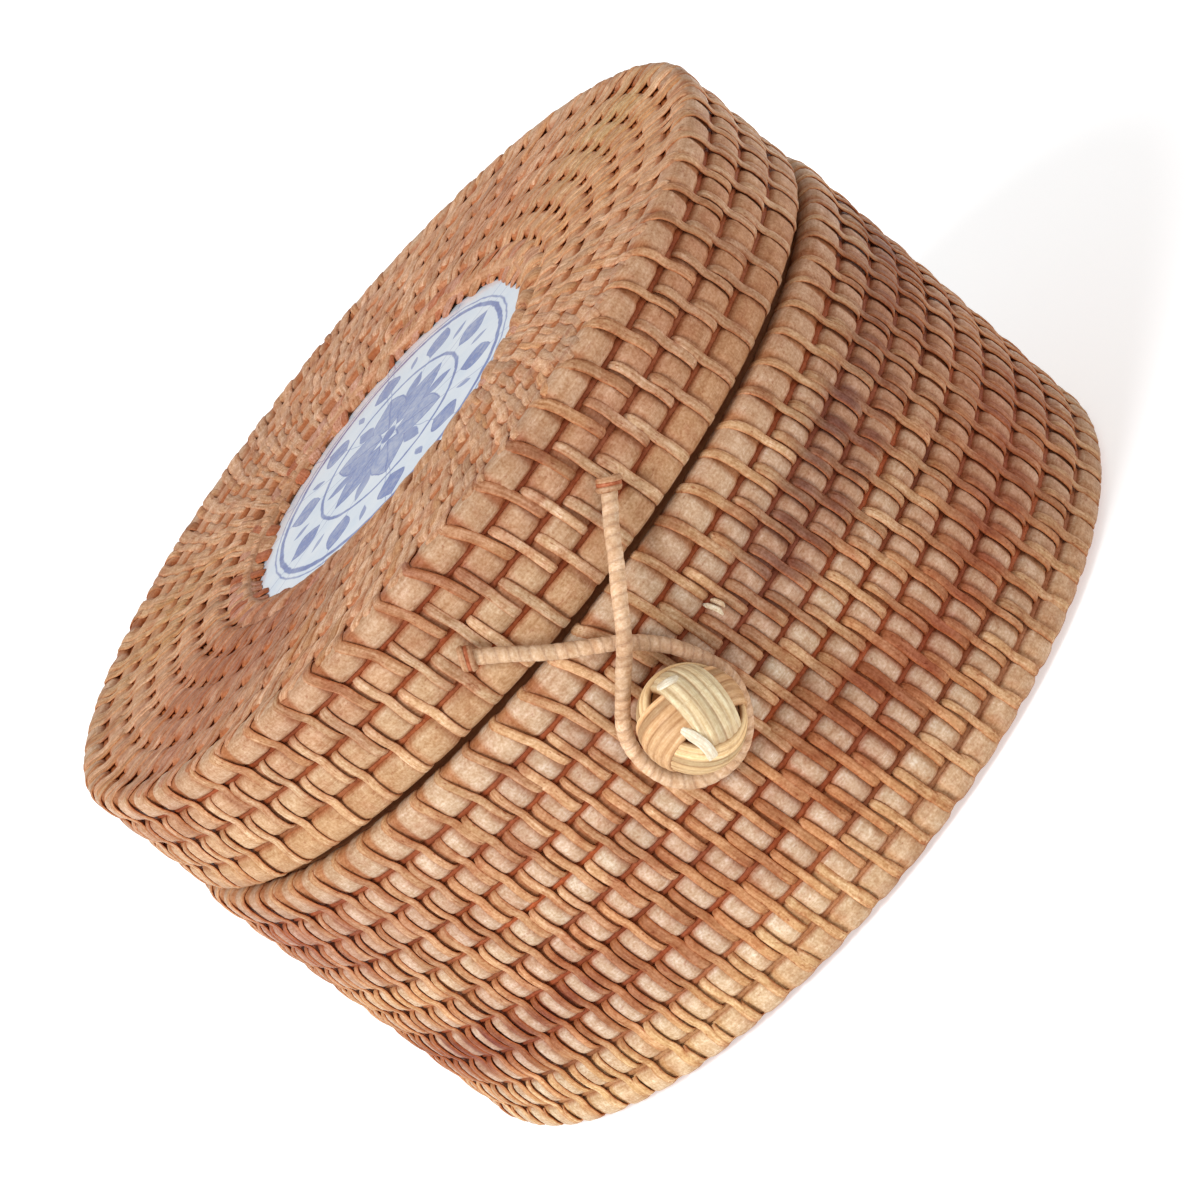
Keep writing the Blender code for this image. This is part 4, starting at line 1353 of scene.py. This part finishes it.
# ---- the closure cord ----------------------------------------------------------------------------
def tube(line, radii, sides, side_hint):
    """A closed tube along line (m, 3) with a radius at each (m, sides)."""
    m = len(line)
    along = unit(np.gradient(line, axis=0))
    side = unit(np.cross(along, side_hint))
    up = np.cross(side, along)
    a = np.linspace(0, 2 * np.pi, sides, endpoint=False)
    rad = np.broadcast_to(radii, (m, sides))
    points = (
        line[:, None, :]
        + side[:, None, :] * (np.cos(a) * rad)[..., None]
        + up[:, None, :] * (np.sin(a) * rad)[..., None]
    )
    faces = grid_faces(m, sides, close_cols=True)
    flat = points.reshape(-1, 3)
    ends = np.vstack([flat, line[:1], line[-1:]])
    i = np.arange(sides)
    j = (i + 1) % sides
    first = np.stack([np.full(sides, m * sides), j, i], 1)
    last = np.stack([np.full(sides, m * sides + 1), (m - 1) * sides + i, (m - 1) * sides + j], 1)
    quads = faces
    whole = volume(flat - flat.mean(0), faces)
    if whole < 0:
        quads = faces[:, ::-1]
    edge = {(int(p), int(q)) for f in quads[: sides * 2] for p, q in zip(f, np.roll(f, -1))}
    if (int(first[0][1]), int(first[0][2])) in edge:
        first = first[:, ::-1]
    edge = {(int(p), int(q)) for f in quads[-sides * 2 :] for p, q in zip(f, np.roll(f, -1))}
    if (int(last[0][1]), int(last[0][2])) in edge:
        last = last[:, ::-1]
    return ends, [quads, first, last], a


knots = np.array([around(az_, r_, z_) for az_, z_, r_ in LOOP_ROUTE])
line = curve_through(knots, 620)
steps_at = np.r_[0, np.cumsum(np.linalg.norm(np.diff(line, axis=0), axis=1))]
radial = unit(np.stack([line[:, 0], line[:, 1], 0 * line[:, 0]], -1))
sides = 18
ring = np.linspace(0, 2 * np.pi, sides, endpoint=False)
pitch = 1.8
coilphase = steps_at[:, None] / pitch + ring[None, :] / (2 * np.pi) + 0.10 * np.sin(steps_at[:, None] * 0.9)
saw = coilphase - np.floor(coilphase)
ridge = np.sin(np.pi * saw) ** 0.6
ends_thin = np.clip(steps_at / 1.2, 0.55, 1)[:, None] * np.clip((steps_at[-1] - steps_at) / 1.2, 0.55, 1)[:, None]
radii = (1.20 + 0.08 * ridge) * ends_thin + 0.03 * np.sin(steps_at * 0.5)[:, None]
points, sets, _ = tube(line, radii, sides, radial)
turn = np.floor(coilphase)
shade = 1 + 0.10 * np.sin(turn * 12.9898 + 4.1) + 0.06 * np.sin(turn * 3.7)
colour = np.broadcast_to(lin(230, 194, 158), (len(line), sides, 3)) * shade[..., None]
# painted shade: the cord is darker near the ball's height on its right side
ball_side_shade = np.exp(-(((line[:, 2] - 50) / 13.0) ** 2))[:, None, None] * np.clip(np.sign(line[:, 0] - BALL[0]), 0, 1)[:, None, None]
colour = colour * (1 - 0.30 * ball_side_shade) + lin(170, 112, 84) * 0.30 * ball_side_shade
# painted shade in the grooves between the cord's wraps
wrap_gap_shade = (1 - np.clip(np.sin(np.pi * saw) / 0.42, 0, 1))[..., None] * 0.40
colour = colour * (1 - wrap_gap_shade) + lin(140, 84, 56) * wrap_gap_shade
tone = np.vstack([colour.reshape(-1, 3), [lin(150, 90, 60)] * 2])
grain = np.stack([np.broadcast_to(ring * 1.4, saw.shape), saw * 2.0, turn], -1)
grain = np.vstack([grain.reshape(-1, 3), np.zeros((2, 3))])
cord = make("loop_cord", points, sets, CORD_MAT, tone, grain, smooth=None)
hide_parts("closure_loop")
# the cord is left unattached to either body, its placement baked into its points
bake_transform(cord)

# the lashing at each end of the cord
for word, end, beyond, seed in (("right", 0, 1, 1), ("left", -1, -2, 2)):
    tip, inward = knots[end], unit(knots[beyond] - knots[end])
    out = unit(np.array([tip[0], tip[1], 0.0]))
    across = unit(np.cross(inward, out))
    up = np.cross(across, inward)
    up = up if up @ out > 0 else -up
    ways = []
    for k, back in enumerate((-0.40, 0.45, 1.30)):
        at = tip + inward * back
        ways.append(
            [at + (across * math.cos(a) + up * math.sin(a)) * 2.02 + inward * 0.35 * math.cos(a)
             for a in np.radians(np.linspace(-42, 222, 9))]
        )
    centre_line = tip + inward * 0.45
    piece = loose_strips(
        f"lashing_{word}", ways, 1.05, 0.42, STRIP_MAT,
        [TAN * 0.9, RUSSET * 1.2, TAN * 0.8], outward=centre_line, taper=0.1,
    )
    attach(piece, "lid")
    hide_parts(f"loop_lashing_{word}")

# a broken strand that stands off the wall
piece = loose_strips(
    "broken_strand",
    [
        [around(7.1, 79.4, 55.2), around(7.3, 81.0, 54.5), around(7.5, 81.9, 53.4), around(7.4, 82.0, 52.3)],
        [around(8.0, 79.4, 54.7), around(8.2, 80.8, 54.1), around(8.3, 81.4, 53.3), around(8.2, 81.6, 52.7)],
    ],
    0.85, 0.30, STRIP_MAT, [lin(238, 226, 200), lin(226, 200, 168)], taper=0.6,
)
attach(piece, "canister")

# ---- the hinge ties ---------------------------------------------------------------------------
HINGE_LINE = (
    (79.0, 77.2), (80.0, 75.7), (80.36, 74.4), (80.36, 71.8), (80.6, 70.3),
    (81.0, 69.2), (81.41, 67.9), (81.41, 62.9), (81.1, 61.7), (80.0, 60.4),
)
for word, middle in (("left", -4.4), ("right", 4.4)):
    ways = []
    for k in range(4):
        x = middle + (k - 1.5) * 1.5
        ways.append([(x + 0.08 * math.sin(2.0 * j + k), y, z) for j, (y, z) in enumerate(HINGE_LINE)])
    lines = np.array([curve_through(w, 40) for w in ways])
    out = np.zeros_like(lines)
    out[..., 1] = 1.0
    points, sets = bands(lines, out, 1.42, 0.8)
    points[..., 1] += 0.38
    sets = caps_face_out(points, sets)
    local = np.random.default_rng(31 if word == "left" else 32)
    colours = np.array([TAN, TAN * 1.14, TAN * 0.88, TAN * 1.05])[local.permutation(4)]
    tone = np.broadcast_to(colours[:, None, None, :], (4, 40, len(STRIP), 3))
    grain = np.zeros((4, 40, len(STRIP), 3))
    grain[..., 0] = np.linspace(0, 18, 40)[None, :, None]
    grain[..., 1] = STRIP[:, 0] * 0.7
    grain[..., 2] = np.arange(4)[:, None, None] * 5.1
    piece = make(f"tie_{word}", points.reshape(-1, 3), sets, STRIP_MAT, tone.reshape(-1, 3), grain.reshape(-1, 3), smooth=60)
    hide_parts(f"hinge_tie_{word}")
    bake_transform(piece)

# ---- floor, light and camera -------------------------------------------------------------------
floor_mesh = bpy.data.meshes.new("floor")
ring_pts = [(8 * math.cos(a), 8 * math.sin(a), -0.00015) for a in np.linspace(0, 2 * math.pi, 96, endpoint=False)]
floor_mesh.from_pydata(ring_pts, [], [list(range(96))])
floor_mat, tree, out = shader_of("floor", 0.9, 0.1)
out.inputs["Base Color"].default_value = (0.72, 0.72, 0.72, 1)
out.inputs["Emission Color"].default_value = (1, 1, 1, 1)
out.inputs["Emission Strength"].default_value = 0.54
floor_mesh.materials.append(floor_mat)
floor = bpy.data.objects.new("floor", floor_mesh)
bpy.context.scene.collection.objects.link(floor)

world = bpy.data.worlds.new("studio")
bpy.context.scene.world = world
world.use_nodes = True
world.node_tree.nodes["Background"].inputs["Color"].default_value = (1.0, 1.0, 1.0, 1)
world.node_tree.nodes["Background"].inputs["Strength"].default_value = 0.62


sun = bpy.data.lights.new("key", "SUN")
sun.energy = 2.8
sun.angle = math.radians(26)
sun.color = (0.94, 0.96, 1.0)
key = bpy.data.objects.new("key", sun)
bpy.context.scene.collection.objects.link(key)
key.rotation_euler = (Vector((0, 0, 0)) - Vector((-0.90, -0.72, 0.95))).to_track_quat("-Z", "Y").to_euler()

camera = bpy.data.cameras.new("camera")
camera.lens = 120.84
camera.sensor_width = 36.0
camera.sensor_fit = "HORIZONTAL"
camera.clip_start = 0.01
camera.clip_end = 50
eye = bpy.data.objects.new("camera", camera)
bpy.context.scene.collection.objects.link(eye)
e, roll = math.radians(17.05), math.radians(51.40)
back = Vector((0, -math.cos(e), math.sin(e)))
right = Vector((1, 0, 0))
up = Vector((0, math.sin(e), math.cos(e)))
right_c = math.cos(roll) * right - math.sin(roll) * up
up_c = math.sin(roll) * right + math.cos(roll) * up
eye.matrix_world = Matrix.Translation(Vector((0.00048, 0, 0.04436)) + back * 0.700) @ Matrix(
    ((right_c.x, up_c.x, back.x), (right_c.y, up_c.y, back.y), (right_c.z, up_c.z, back.z))
).to_4x4()
bpy.context.scene.camera = eye
bpy.context.scene.view_settings.view_transform = "Standard"
bpy.context.scene.view_settings.look = "None"

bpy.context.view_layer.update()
